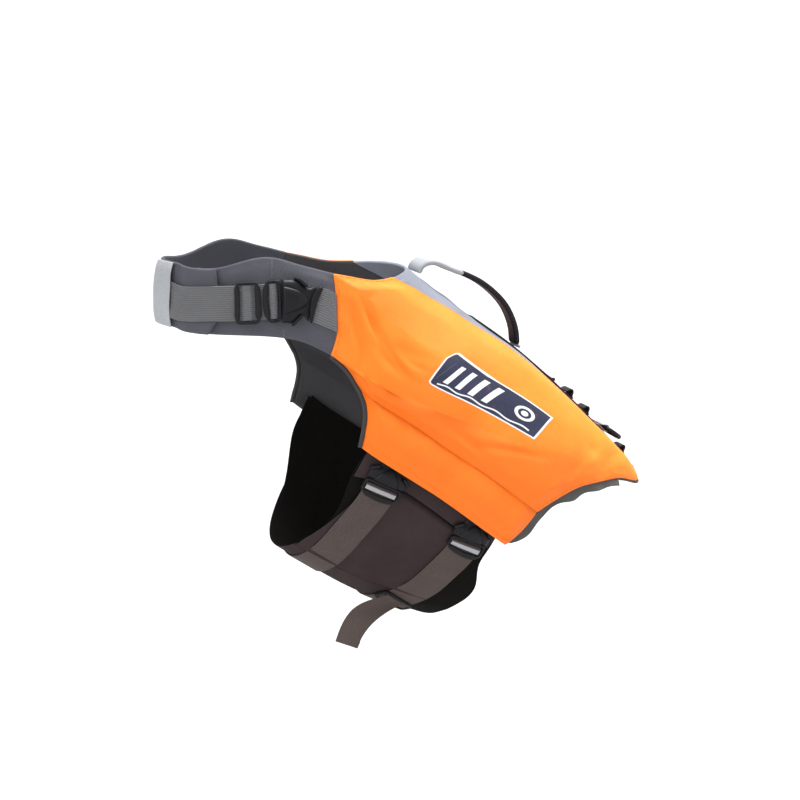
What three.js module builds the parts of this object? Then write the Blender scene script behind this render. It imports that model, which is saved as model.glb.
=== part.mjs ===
import * as THREE from 'three';

// Dog life jacket, fastened as worn, in millimetres.
// The neck end points to -X, the tail end to +X, the left side to -Y, and +Z is up.
// The origin is the withers, where the lining rests on the top of the back.

// Cloth and webbing
const SEAM_GAP = 0.4;
const LAY_GAP = 0.4;
const LINING_LIFT = 0.3;
const FOAM_PANEL = 12;
const PANEL_EDGE = 5;
const PANEL_EASE = 26;
const COLLAR_PAD = 6;
const COLLAR_EDGE = 4;
const SPINE_CLOTH = 3.4;
const BINDING_WIDTH = 3.6;
const BINDING_ROLL = 0.8;
const FACING_CLOTH = 2.2;
const BAND_CLOTH = 1;
const FLAP_CLOTH = 1.5;
const WEBBING = 1.5;
const WEBBING_WIDTH = 38;
const TAB_WEBBING_WIDTH = 25;
const LOOP_WIDTH = 20;

// Lifts over the body of what lies on the collar and on the belly
const COLLAR_TOP_LIFT = LINING_LIFT + COLLAR_PAD;
const BAND_TOP_LIFT = LINING_LIFT + BAND_CLOTH;
const FLAP_LIFT = BAND_TOP_LIFT + LAY_GAP;
const FLAP_TOP_LIFT = FLAP_LIFT + FLAP_CLOTH;
const BELLY_STRAP_LIFT = FLAP_TOP_LIFT + LAY_GAP;
const SPINE_TOP_LIFT = LINING_LIFT + SPINE_CLOTH;
const SPINE_WEBBING_LIFT = SPINE_TOP_LIFT + LAY_GAP;
const SPINE_WEBBING_TOP = SPINE_WEBBING_LIFT + WEBBING;

// How far the side panel's lower edge stands off the belly pieces, and more over each buckle
const PANEL_FLARE = 5;
const BUCKLE_BUMP = 7;
const BUMP_RINGS = 0.75;
const BELLY_BUCKLE_RINGS = [3.83, 5.39];

// Collar
const COLLAR_SEAM_GAP = 0.3;
const COLLAR_HEIGHT = 75;
const COLLAR_EASE = 14;
const COLLAR_LEFT_LENGTH = 150;
const COLLAR_RIGHT_LENGTH = 330;
const COLLAR_LEFT_FRONT = 146;
const FLAP_STEP_FROM = 161;
const FLAP_STEP_TO = 149;
const KEEPER = { from: 161.5, to: 181.5 };
const KEEPER_RISE = 5;
const KEEPER_RISE_SHARE = 0.12;

// Facing and flaps, in rings or degrees where they follow the chart
const FACING_FROM_ROW = 5;
const TAIL_FACING_GAP = 0.008;
const TAIL_FACING_WIDTH = 0.05;
const FLAP_SEAM_GAP = 0.25;
const STRIP_TOP_ANGLE = 93;
const STRIP_SLANT = 0.2;

// Straps, sliders and buckles
const STRAP_STEP = 12;
const STRAP_SEAM_DEGREES = 0.5;
const STRAP_LEAN_LENGTH = 16;
const FRAME_STEP = 7;
const FRAME_WIDTH = 45;
const WINDOW_WIDTH = WEBBING_WIDTH + 1.2;
const BAR = 3;
const MIDDLE_BAR = 2;
const RAIL_LOW = 0.3;
const BAR_CLIMB = RAIL_LOW + MIDDLE_BAR + LAY_GAP;
const BAR_RAMP = 2.9;
const BAR_SIDE_GAP = 0.8;
const SLIDER_ENDS = [6.5, 5.5];
const SLIDER_BAR = 6;
const LADDER_ENDS = [3.2, 5.2];
const LADDER_BAR = 4;
const LADDER_LENGTH = 21;
const BUCKLE_WIDTH = 48;
const WINDOW_SHARE = 0.86;
const BODY_BAR = 3.2;
const BODY_SLOT = 4;
const BODY_TAPER = 2;
const BODY_ROUNDING = 0.12;
const BODY_END_HEIGHT = 4.4;
const THUMB_DEPTH = 3.5;
const NECK_BODY_HEIGHT = 12;
const BELLY_BODY_HEIGHT = 9;
const BELLY_BODY_LENGTH = 29;
const BODY_TUCK = 9;
const TAB_LENGTH = 12;
const NECK_BODY = { from: 89.5, to: 104.9 };
const NECK_LADDER = { from: 105.1, to: 113 };
const NECK_SLIDER = { from: 113.6, to: 125 };
const BELLY_SLIDER = { from: 152, to: 163 };
const TAIL_ON_SLIDER = [-19, 5];
const PANEL_EDGE_ANGLE = { front: 97.7, rear: 99.9 };

// Handle, spine loops and ring
const HANDLE_WIDTH = 36;
const HANDLE_PADDING = 6.5;
const HANDLE_FOOT_LIFT = 2;
const HANDLE_WEBBING = 3;
const GRIP_WIDTH = 27;
const GRIP_THICKNESS = 7;
const HANDLE_FRONT_RING = 0.9;
const HANDLE_REAR_RING = 5.2;
const RING_ROD = 5;
const RING_INNER_WIDTH = 32;
const RING_INNER_LENGTH = 20;
const RING_REST_TILT = 12;
const RING_HINGE_RING = 7.2;
const TAB_BORE = 3;
const TAB_SEWN_LENGTH = 11;
const CORNER = 3;
const BAR_STOPS = 6;
const BOW_STOPS = 17;

// The general chest that the jacket closes round, ring by ring from the neck to the loin.
// Each ring is an egg between its top point and its low point, half as wide as given.
const RINGS = [
  { topX: -84, topZ: 66, lowX: -350, lowZ: 104, half: 82 },
  { topX: -64, topZ: 50, lowX: -354, lowZ: 28, half: 94 },
  { topX: -46, topZ: 36, lowX: -352, lowZ: -72, half: 107 },
  { topX: -23, topZ: 19, lowX: -292, lowZ: -190, half: 116 },
  { topX: 0, topZ: 0, lowX: -210, lowZ: -260, half: 119 },
  { topX: 48, topZ: -35, lowX: -133, lowZ: -309, half: 119 },
  { topX: 104, topZ: -84, lowX: -48, lowZ: -347, half: 115 },
  { topX: 158, topZ: -138, lowX: 30, lowZ: -362, half: 105 },
  { topX: 208, topZ: -193, lowX: 105, lowZ: -362, half: 92 },
];
const EGG = 0.07;

// Nominal size of one ring step and one degree, which spaces the points of an edge
const RING_STEP = 65;
const DEGREE_STEP = 2;

const DEG = Math.PI / 180;

// Cut lines of the left side. ring counts along RINGS; angle is in degrees from the spine.
const NECK_EDGE = [
  { ring: 0.45, angle: 44.5 },
  { ring: 0.47, angle: 59 },
  { ring: 0.33, angle: 70 },
  { ring: 0.23, angle: 78.7 },
];
const COLLAR_SEAM = [
  { ring: 0.23, angle: 78.7 },
  { ring: 0.61, angle: 80 },
  { ring: 1.04, angle: 81.6 },
  { ring: 1.42, angle: 83 },
  { ring: 1.66, angle: 84.4 },
  { ring: 1.935, angle: 88.9 },
];
const ARMHOLE_UPPER = [
  { ring: 1.935, angle: 88.9 },
  { ring: 2.2, angle: 85.9 },
  { ring: 2.39, angle: 85.5 },
  { ring: 2.577, angle: 85.7 },
];
const ARMHOLE_LOWER = [
  { ring: 2.577, angle: 85.7 },
  { ring: 2.77, angle: 87.3 },
  { ring: 2.93, angle: 90.3 },
  { ring: 3.08, angle: 94.9 },
  { ring: 3.187, angle: 98.8 },
];
const PANEL_BOTTOM = [
  { ring: 3.187, angle: 98.8 },
  { ring: 3.65, angle: 97.8 },
  { ring: 4.24, angle: 97.7 },
  { ring: 5.02, angle: 98.7 },
  { ring: 5.844, angle: 101.8 },
];
const CHANNEL = [
  { ring: 2.577, angle: 85.7 },
  { ring: 3.41, angle: 81.3 },
  { ring: 4.17, angle: 81.2 },
  { ring: 5.2, angle: 82 },
  { ring: 6.09, angle: 84.6 },
];
const SPINE_SEAM = [
  { ring: 0.45, angle: 44.5 },
  { ring: 0.73, angle: 40 },
  { ring: 1.1, angle: 34.5 },
  { ring: 1.8, angle: 28 },
  { ring: 2.63, angle: 22.5 },
  { ring: 3.6, angle: 19 },
  { ring: 4.6, angle: 16 },
  { ring: 6, angle: 14 },
  { ring: 7.9, angle: 14 },
];
const HEM_UPPER = [
  { ring: 7.9, angle: 14 },
  { ring: 7.93, angle: 28.7 },
  { ring: 7.53, angle: 40.7 },
  { ring: 7.1, angle: 52.3 },
  { ring: 6.84, angle: 59 },
  { ring: 6.63, angle: 64.3 },
  { ring: 6.41, angle: 71.5 },
  { ring: 6.22, angle: 78.8 },
  { ring: 6.09, angle: 84.6 },
];
const HEM_LOWER = [
  { ring: 6.09, angle: 84.6 },
  { ring: 5.97, angle: 95 },
  { ring: 5.844, angle: 101.8 },
];
const FACING_EDGE = [
  { ring: 7.45, angle: 48.2 },
  { ring: 7.21, angle: 54.2 },
  { ring: 7.02, angle: 60.1 },
  { ring: 6.75, angle: 66.2 },
  { ring: 6.62, angle: 71.6 },
  { ring: 6.39, angle: 76.4 },
  { ring: 6.23, angle: 84.4 },
  { ring: 6.2, angle: 89.6 },
  { ring: 6.13, angle: 96.8 },
  { ring: 5.97, angle: 101.6 },
];

// Neck line and lower line of the collar, from the collar seam round to the throat at 180
const COLLAR_TOP = [
  { angle: 78.7, ring: 0.23 },
  { angle: 88, ring: 0.112 },
  { angle: 94.2, ring: 0.051 },
  { angle: 102.7, ring: -0.033 },
  { angle: 108.2, ring: -0.035 },
  { angle: 121.5, ring: 0.118 },
  { angle: 133.9, ring: 0.263 },
  { angle: 158, ring: 0.268 },
  { angle: 180, ring: 0.262 },
];
const COLLAR_LOW = [
  { angle: 88.9, ring: 1.935 },
  { angle: 94.7, ring: 1.697 },
  { angle: 98.4, ring: 1.587 },
  { angle: 105, ring: 1.467 },
  { angle: 119.2, ring: 1.341 },
  { angle: 133.6, ring: 1.277 },
  { angle: 150, ring: 1.22 },
  { angle: 164, ring: 1.165 },
  { angle: 180, ring: 1.15 },
];
const COLLAR_FLAP_END = [
  { ring: 0.262, angle: 133.4 },
  { ring: 0.7, angle: 132.8 },
  { ring: 1.1, angle: 133.3 },
  { ring: 1.3, angle: 137.7 },
];

// Lift of the neck strap: low on the collar, up over the flap's end, and low again at the throat
const NECK_RISE = [
  { angle: 82, lift: 4.9 },
  { angle: 87.5, lift: 6.8 },
  { angle: 95, lift: 7.3 },
  { angle: 114, lift: 10.2 },
  { angle: 133, lift: 13.7 },
  { angle: 152, lift: 13.7 },
  { angle: 161, lift: 9.2 },
  { angle: 170, lift: 7.4 },
  { angle: 200, lift: 6.8 },
];

// Centre lines of the webbing; angles past 180 are on the right side
const NECK_STRAP = [
  { ring: 1.17, angle: 83.1 },
  { ring: 1.037, angle: 87 },
  { ring: 0.946, angle: 90.4 },
  { ring: 0.841, angle: 97.8 },
  { ring: 0.812, angle: 105.1 },
  { ring: 0.816, angle: 113.3 },
  { ring: 0.822, angle: 125.2 },
  { ring: 0.824, angle: 137.7 },
  { ring: 0.829, angle: 152.1 },
  { ring: 0.79, angle: 163 },
  { ring: 0.75, angle: 178 },
  { ring: 0.76, angle: 200 },
];
const BELLY_STRAP_FRONT = [
  { ring: 3.8, angle: 95 },
  { ring: 3.85, angle: 103 },
  { ring: 3.93, angle: 112 },
  { ring: 4.0, angle: 127 },
  { ring: 4.06, angle: 139 },
  { ring: 4.13, angle: 160 },
  { ring: 4.15, angle: 180 },
  { ring: 4.1, angle: 205 },
  { ring: 4.0, angle: 235 },
  { ring: 3.83, angle: 264 },
];
const BELLY_STRAP_REAR = [
  { ring: 5.37, angle: 96 },
  { ring: 5.39, angle: 104 },
  { ring: 5.42, angle: 112 },
  { ring: 5.4, angle: 124.6 },
  { ring: 5.38, angle: 139 },
  { ring: 5.3, angle: 155 },
  { ring: 5.25, angle: 180 },
  { ring: 5.3, angle: 205 },
  { ring: 5.38, angle: 235 },
  { ring: 5.38, angle: 262 },
];
const SPINE_ROUTE = [
  { ring: 4.1, angle: 0 },
  { ring: 5, angle: 0 },
  { ring: 6, angle: 0 },
  { ring: 7.83, angle: 0 },
];

// Nape edge of the spine panel, from the seam to the middle
const NAPE_EDGE = [
  { ring: 0.45, angle: 44.5 },
  { ring: 0.26, angle: 22 },
  { ring: 0.2, angle: 0 },
];

// Loops of webbing on the spine, and the profile that each follows in shares of its size
const SPINE_LOOPS = [
  { ring: 6.25, length: 16, height: 6.5 },
  { ring: 6.66, length: 14, height: 6 },
  { ring: 7.58, length: 14, height: 6.5 },
];
const LOOP_PROFILE = [
  { along: 0, up: 0 },
  { along: 0.16, up: 0.04 },
  { along: 0.3, up: 0.62 },
  { along: 0.5, up: 1 },
  { along: 0.7, up: 0.62 },
  { along: 0.84, up: 0.04 },
  { along: 1, up: 0 },
];

// Belly: front and rear edges of the black band, and the lower edge of the grey strip
const BAND_FRONT = [
  { ring: 3.3, angle: 92 },
  { ring: 3.42, angle: 108 },
  { ring: 3.62, angle: 120 },
  { ring: 3.78, angle: 140 },
  { ring: 3.85, angle: 180 },
];
const BAND_REAR = [
  { ring: 5.7, angle: 92 },
  { ring: 5.76, angle: 108 },
  { ring: 5.79, angle: 116 },
  { ring: 5.97, angle: 127 },
  { ring: 6.0, angle: 142 },
  { ring: 5.95, angle: 158 },
  { ring: 5.9, angle: 180 },
];
const STRIP_LOW = [
  { ring: 3.46, angle: 109 },
  { ring: 3.8, angle: 105 },
  { ring: 4.3, angle: 103.2 },
  { ring: 5.14, angle: 105.3 },
  { ring: 5.72, angle: 107.5 },
];
const FLAP_FOLD = [
  { ring: 3.74, angle: 154 },
  { ring: 4.29, angle: 152.7 },
  { ring: 4.79, angle: 149.9 },
  { ring: 5.16, angle: 147.5 },
  { ring: 5.56, angle: 146 },
];

// Grab handle, in the plane of the spine
const HANDLE_FRONT = [
  { x: -60, z: 62 },
  { x: -52.5, z: 67 },
  { x: -41, z: 67 },
  { x: -30, z: 62.5 },
  { x: -18, z: 57 },
  { x: -9, z: 53.5 },
];
const HANDLE_GRIP = [
  { x: -8.2, z: 53.2 },
  { x: 13, z: 43 },
  { x: 33, z: 28 },
  { x: 46, z: 14 },
  { x: 55.5, z: -3 },
  { x: 60.5, z: -20 },
  { x: 61.5, z: -33 },
];
const HANDLE_REAR = { x: 61.7, z: -34.6 };

// Free end of the rear belly strap: its front and rear edges below the slider
const TAIL_FRONT_EDGE = [
  { x: -152, y: -39, z: -323 },
  { x: -164, y: -32, z: -345 },
  { x: -170, y: -30, z: -362 },
];
const TAIL_REAR_EDGE = [
  { x: -135, y: -64, z: -333 },
  { x: -148, y: -61, z: -350 },
  { x: -154, y: -60, z: -363 },
];

const orange = new THREE.MeshStandardMaterial({ color: 0xff7a26, roughness: 0.62, metalness: 0 });
const charcoal = new THREE.MeshStandardMaterial({ color: 0x54555f, roughness: 0.7, metalness: 0 });
const flapGrey = new THREE.MeshStandardMaterial({ color: 0x443a3c, roughness: 0.75, metalness: 0 });
const spineGrey = new THREE.MeshStandardMaterial({ color: 0x9ea3b4, roughness: 0.7, metalness: 0 });
const blackCloth = new THREE.MeshStandardMaterial({ color: 0x16151a, roughness: 0.85, metalness: 0 });
const bindingGrey = new THREE.MeshStandardMaterial({ color: 0x3b3737, roughness: 0.8, metalness: 0 });
const webGrey = new THREE.MeshStandardMaterial({ color: 0x8c8f92, roughness: 0.75, metalness: 0 });
const webBrown = new THREE.MeshStandardMaterial({ color: 0x584e4c, roughness: 0.78, metalness: 0 });
const webLight = new THREE.MeshStandardMaterial({ color: 0xbdbab9, roughness: 0.7, metalness: 0 });
const webBlack = new THREE.MeshStandardMaterial({ color: 0x1d1d22, roughness: 0.8, metalness: 0 });
const plastic = new THREE.MeshStandardMaterial({ color: 0x20222c, roughness: 0.4, metalness: 0 });
const rubber = new THREE.MeshStandardMaterial({ color: 0x24252e, roughness: 0.55, metalness: 0 });

const garment = new THREE.Group();

function piece(name, geometry, material) {
  const mesh = new THREE.Mesh(geometry, material);
  mesh.name = name;
  garment.add(mesh);
  return mesh;
}

// Natural cubic spline: rows of numbers at the knots, and a function that gives the row at any s.
function spline(knots, rows) {
  const last = knots.length - 1;
  const width = rows[0].length;
  const bends = rows.map(() => new Array(width).fill(0));
  for (let k = 0; k < width; k += 1) {
    const share = [0];
    const value = [0];
    for (let i = 1; i < last; i += 1) {
      const before = knots[i] - knots[i - 1];
      const after = knots[i + 1] - knots[i];
      const rise = (rows[i + 1][k] - rows[i][k]) / after - (rows[i][k] - rows[i - 1][k]) / before;
      const pivot = 2 * (before + after) - before * share[i - 1];
      share.push(after / pivot);
      value.push((6 * rise - before * value[i - 1]) / pivot);
    }
    for (let i = last - 1; i > 0; i -= 1) {
      bends[i][k] = value[i] - share[i] * bends[i + 1][k];
    }
  }
  return (s) => {
    let i = 0;
    while (i < last - 1 && s > knots[i + 1]) i += 1;
    const span = knots[i + 1] - knots[i];
    const b = (s - knots[i]) / span;
    const a = 1 - b;
    const bendA = ((a ** 3 - a) * span ** 2) / 6;
    const bendB = ((b ** 3 - b) * span ** 2) / 6;
    return rows[i].map((_, k) => (
      a * rows[i][k] + b * rows[i + 1][k] + bendA * bends[i][k] + bendB * bends[i + 1][k]
    ));
  };
}

const ringRow = spline(
  RINGS.map((_, i) => i),
  RINGS.map((r) => [r.topX, r.topZ, r.lowX, r.lowZ, r.half]),
);

// Point of the chest under a place on the chart: ring along the body, angle round from the spine.
function chest(ring, angle) {
  const [topX, topZ, lowX, lowZ, half] = ringRow(ring);
  const cos = Math.cos(angle * DEG);
  return new THREE.Vector3(
    (topX + lowX) / 2 + ((topX - lowX) / 2) * cos,
    -half * (1 + EGG * cos) * Math.sin(angle * DEG),
    (topZ + lowZ) / 2 + ((topZ - lowZ) / 2) * cos,
  );
}

// The two tangents of the chest at a place, per ring and per degree.
function tangents(ring, angle) {
  const step = 0.01;
  const perRing = chest(ring + step, angle).sub(chest(ring - step, angle)).divideScalar(2 * step);
  const perDegree = chest(ring, angle + step).sub(chest(ring, angle - step)).divideScalar(2 * step);
  return { perRing, perDegree };
}

function lifted(ring, angle, lift) {
  const { perRing, perDegree } = tangents(ring, angle);
  const out = perDegree.cross(perRing).normalize();
  return chest(ring, angle).addScaledVector(out, lift);
}

// An edge through a table's places, as a function of 0..1 that gives [ring, angle].
function edge(table) {
  const knots = [0];
  for (let i = 1; i < table.length; i += 1) {
    const rings = (table[i].ring - table[i - 1].ring) * RING_STEP;
    const degrees = (table[i].angle - table[i - 1].angle) * DEGREE_STEP;
    knots.push(knots[i - 1] + Math.hypot(rings, degrees));
  }
  const line = spline(knots, table.map((row) => [row.ring, row.angle]));
  return (s) => line(s * knots.at(-1));
}

// The place a distance in mm to the side of a line's point, over the chest: for a line that runs
// to the tail, a positive distance is towards the spine.
function beside(line, s, distance) {
  const step = 0.004;
  const [ring, angle] = line(s);
  const [ringA, angleA] = line(s - step);
  const [ringB, angleB] = line(s + step);
  const { perRing, perDegree } = tangents(ring, angle);
  const along = perRing.clone().multiplyScalar(ringB - ringA);
  along.addScaledVector(perDegree, angleB - angleA);
  const out = perDegree.clone().cross(perRing);
  const side = out.cross(along).setLength(distance === 0 ? 1 : Math.abs(distance));
  side.multiplyScalar(Math.sign(distance));
  const rr = perRing.dot(perRing);
  const ra = perRing.dot(perDegree);
  const aa = perDegree.dot(perDegree);
  const sr = side.dot(perRing);
  const sa = side.dot(perDegree);
  const scale = rr * aa - ra * ra;
  return [ring + (sr * aa - sa * ra) / scale, angle + (sa * rr - sr * ra) / scale];
}

function moved(line, distance) {
  return (s) => beside(line, s, distance);
}

// Several edges in a row; breaks are the shares of 0..1 at which one gives way to the next.
function chain(lines, breaks) {
  const stops = [0, ...breaks, 1];
  return (s) => {
    let i = 0;
    while (i < lines.length - 1 && s > stops[i + 1]) i += 1;
    return lines[i]((s - stops[i]) / (stops[i + 1] - stops[i]));
  };
}

function straight(from, to) {
  return (s) => [from[0] + (to[0] - from[0]) * s, from[1] + (to[1] - from[1]) * s];
}

// What a line adds to the straight way between its own ends.
function bulge(line, s) {
  const straightWay = straight(line(0), line(1))(s);
  return line(s).map((value, k) => value - straightWay[k]);
}

// Chart of a four-sided piece: u runs along its top and bottom edges, v between them.
// The start and end edges add their bulge, so the piece keeps the corners of its top and bottom.
function patch({ start, end, top, bottom }) {
  return (u, v) => {
    const startBulge = bulge(start, v);
    const endBulge = bulge(end, v);
    const between = straight(top(u), bottom(u))(v);
    return between.map((value, k) => value + (1 - u) * startBulge[k] + u * endBulge[k]);
  };
}

function steps(count, from = 0, to = 1) {
  return Array.from({ length: count + 1 }, (_, i) => from + ((to - from) * i) / count);
}

function smooth(x) {
  const s = Math.min(Math.max(x, 0), 1);
  return s * s * (3 - 2 * s);
}

// Closed solid between two heights over a grid. place(u, v, height) gives a point;
// low(u, v) and high(u, v) give the heights; open(i, j) is true for a cell that is a hole.
function solid({ columns, rows, place, low, high, open = () => false }) {
  const full = (i, j) => (
    i >= 0 && j >= 0 && i < columns.length - 1 && j < rows.length - 1 && !open(i, j)
  );
  const corners = new Map();
  const positions = [];
  const corner = (i, j, top) => {
    const key = (i * rows.length + j) * 2 + top;
    if (!corners.has(key)) {
      const height = (top ? high : low)(columns[i], rows[j]);
      corners.set(key, positions.length / 3);
      positions.push(...place(columns[i], rows[j], height).toArray());
    }
    return corners.get(key);
  };
  const faces = [];
  const quad = (a, b, c, d) => faces.push(a, b, c, a, c, d);
  for (let i = 0; i < columns.length - 1; i += 1) {
    for (let j = 0; j < rows.length - 1; j += 1) {
      if (!full(i, j)) continue;
      quad(corner(i, j, 1), corner(i + 1, j, 1), corner(i + 1, j + 1, 1), corner(i, j + 1, 1));
      quad(corner(i, j, 0), corner(i, j + 1, 0), corner(i + 1, j + 1, 0), corner(i + 1, j, 0));
      const walls = [
        [i - 1, j, [i, j + 1], [i, j]],
        [i + 1, j, [i + 1, j], [i + 1, j + 1]],
        [i, j - 1, [i, j], [i + 1, j]],
        [i, j + 1, [i + 1, j + 1], [i, j + 1]],
      ];
      walls.filter(([ni, nj]) => !full(ni, nj)).forEach(([, , from, to]) => {
        quad(corner(...from, 0), corner(...to, 0), corner(...to, 1), corner(...from, 1));
      });
    }
  }
  return closedBody(positions, faces);
}

// Geometry from shared points and faces, turned so that its faces point out.
function closedBody(positions, faces) {
  const point = (i) => new THREE.Vector3().fromArray(positions, i * 3);
  let volume = 0;
  for (let i = 0; i < faces.length; i += 3) {
    volume += point(faces[i]).dot(point(faces[i + 1]).cross(point(faces[i + 2])));
  }
  if (volume < 0) faces.reverse();
  const geometry = new THREE.BufferGeometry();
  geometry.setAttribute('position', new THREE.Float32BufferAttribute(positions, 3));
  geometry.setIndex(faces);
  return geometry;
}

// Cloth on the chest: side is 1 for the left and -1 for the right.
function cloth({ columns, rows, chart, low, high, side = 1 }) {
  const place = (u, v, height) => {
    const [ring, angle] = chart(u, v);
    return lifted(ring, side * angle, height);
  };
  return solid({ columns, rows, place, low, high });
}

function constant(value) {
  return () => value;
}

function bothSides(make) {
  [['left', 1], ['right', -1]].forEach(([name, side]) => make(name, side));
}

// Height of a padded piece: thin at its edges, full past the ease; the sizes are in mm.
function crown(u, v, length, height, ease) {
  const fromEnds = Math.min(u, 1 - u) * length;
  const fromSides = Math.min(v, 1 - v) * height;
  return smooth(fromEnds / ease) * smooth(fromSides / ease);
}

// A value that goes in straight steps through a table's rows.
function interpolate(table, key, column, at) {
  const next = table.findIndex((row) => row[key] >= at);
  if (next === 0) return table[0][column];
  if (next < 0) return table.at(-1)[column];
  const [from, to] = [table[next - 1], table[next]];
  return from[column] + ((to[column] - from[column]) * (at - from[key])) / (to[key] - from[key]);
}

function splineOf(table, key, column) {
  const line = spline(table.map((row) => row[key]), table.map((row) => [row[column]]));
  return (at) => line(at)[0];
}

// Side panels: an upper and a lower foam chamber that share the sewn channel line.
// The rows of the upper one meet the ends of the neck edge, the collar seam and the armhole.
const PANEL_COLUMNS = 20;
const NECK_ROWS = 4;
const SEAM_ROWS = 5;
const ARMHOLE_ROWS = 4;
const UPPER_ROWS = NECK_ROWS + SEAM_ROWS + ARMHOLE_ROWS;
const LOWER_ROWS = 4;
const PANEL_LENGTH = 330;
const UPPER_HEIGHT = 165;
const LOWER_HEIGHT = 34;

const upperChamber = patch({
  start: chain(
    [edge(NECK_EDGE), moved(edge(COLLAR_SEAM), SEAM_GAP / 2), edge(ARMHOLE_UPPER)],
    [NECK_ROWS / UPPER_ROWS, (NECK_ROWS + SEAM_ROWS) / UPPER_ROWS],
  ),
  end: edge(HEM_UPPER),
  top: moved(edge(SPINE_SEAM), -SEAM_GAP / 2),
  bottom: edge(CHANNEL),
});
const lowerChamber = patch({
  start: edge(ARMHOLE_LOWER),
  end: edge(HEM_LOWER),
  top: edge(CHANNEL),
  bottom: edge(PANEL_BOTTOM),
});

function panelChart(u, v) {
  return v <= 1 ? upperChamber(u, v) : lowerChamber(u, v - 1);
}

// The lower chamber stands off the belly pieces, further over the two buckles.
function panelLow(u, v) {
  if (v <= 1) return LINING_LIFT;
  const ring = lowerChamber(u, v - 1)[0];
  const bumps = BELLY_BUCKLE_RINGS.map((at) => Math.exp(-(((ring - at) / BUMP_RINGS) ** 2)));
  const flare = PANEL_FLARE + BUCKLE_BUMP * Math.max(...bumps);
  return LINING_LIFT + (flare - LINING_LIFT) * (v - 1);
}

function panelHigh(u, v) {
  const [share, height] = v <= 1 ? [v, UPPER_HEIGHT] : [v - 1, LOWER_HEIGHT];
  const full = crown(u, share, PANEL_LENGTH, height, PANEL_EASE);
  return panelLow(u, v) + PANEL_EDGE + (FOAM_PANEL - PANEL_EDGE) * full;
}

bothSides((name, side) => {
  piece(`side_panel_${name}`, cloth({
    columns: steps(PANEL_COLUMNS),
    rows: [...steps(UPPER_ROWS), ...steps(LOWER_ROWS, 1, 2).slice(1)],
    chart: panelChart,
    low: panelLow,
    high: panelHigh,
    side,
  }), orange);
});

// Binding round each armhole, from the collar seam to the panel's lower corner.
const armhole = chain([edge(ARMHOLE_UPPER), edge(ARMHOLE_LOWER)], [0.5]);
bothSides((name, side) => {
  piece(`armhole_binding_${name}`, cloth({
    columns: [...steps(ARMHOLE_ROWS, 0, 0.5), ...steps(LOWER_ROWS, 0.5, 1).slice(1)],
    rows: steps(2),
    chart: (u, v) => beside(armhole, u, -SEAM_GAP - v * BINDING_WIDTH),
    low: (u) => panelLow(0, 2 * u),
    high: (u, v) => panelLow(0, 2 * u) + PANEL_EDGE + (v === 0.5 ? BINDING_ROLL : 0),
    side,
  }), bindingGrey);
});

// Lining strips that show past the rear hem: one on each side and one across the tail.
const HEM_SHARE = 0.8;
const FACING_START = (HEM_SHARE * FACING_FROM_ROW) / UPPER_ROWS;
const hemLine = chain([edge(HEM_UPPER), edge(HEM_LOWER)], [HEM_SHARE]);
const hemStops = [...steps(UPPER_ROWS, 0, HEM_SHARE), ...steps(LOWER_ROWS, HEM_SHARE, 1).slice(1)];
const facingLine = edge(FACING_EDGE);
bothSides((name, side) => {
  piece(`rear_facing_${name}`, cloth({
    columns: hemStops.slice(FACING_FROM_ROW),
    rows: steps(1),
    chart: (u, v) => {
      const far = facingLine((u - FACING_START) / (1 - FACING_START));
      return straight(beside(hemLine, u, SEAM_GAP), far)(v);
    },
    low: constant(LINING_LIFT),
    high: constant(LINING_LIFT + FACING_CLOTH),
    side,
  }), bindingGrey);
});

const tailStops = hemStops.slice(0, FACING_FROM_ROW + 1);
piece('tail_facing', cloth({
  columns: [...tailStops.map((stop) => -stop).reverse(), ...tailStops.slice(1)],
  rows: steps(1),
  chart: (u, v) => {
    const [ring, angle] = hemLine(Math.abs(u));
    const around = Math.sign(u) * angle;
    return [ring + TAIL_FACING_GAP + v * TAIL_FACING_WIDTH, around];
  },
  low: constant(LINING_LIFT),
  high: constant(LINING_LIFT + FACING_CLOTH),
}), bindingGrey);

// Grey panel along the back, between the two spine seams.
const spineSeam = moved(edge(SPINE_SEAM), SEAM_GAP / 2);
const mirrored = (line) => (s) => [line(s)[0], -line(s)[1]];
piece('spine_panel', cloth({
  columns: steps(PANEL_COLUMNS),
  rows: steps(8),
  chart: patch({
    start: edge([...NAPE_EDGE, ...NAPE_EDGE.slice(0, -1).reverse().map(opposite)]),
    end: straight(spineSeam(1), mirrored(spineSeam)(1)),
    top: spineSeam,
    bottom: mirrored(spineSeam),
  }),
  low: constant(LINING_LIFT),
  high: constant(SPINE_TOP_LIFT),
}), spineGrey);

function opposite(place) {
  return { ring: place.ring, angle: -place.angle };
}

// Collar: two padded pieces. The left one ends under the flap of the right one, which
// comes round the throat from the other side and steps up over it.
const collarTop = splineOf(COLLAR_TOP, 'angle', 'ring');
const collarLow = splineOf(COLLAR_LOW, 'angle', 'ring');
const fold = (angle) => (angle > 180 ? 360 - angle : angle);
const aroundCollar = (line, from, to) => (u) => {
  const angle = from + (to - from) * u;
  return [line(fold(angle)), angle];
};
const topStart = COLLAR_TOP[0].angle + COLLAR_SEAM_GAP;
const lowStart = COLLAR_LOW[0].angle + COLLAR_SEAM_GAP;

function collarPad(length) {
  return (u, v) => COLLAR_EDGE + (COLLAR_PAD - COLLAR_EDGE) * crown(u, v, length, COLLAR_HEIGHT, COLLAR_EASE);
}

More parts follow.
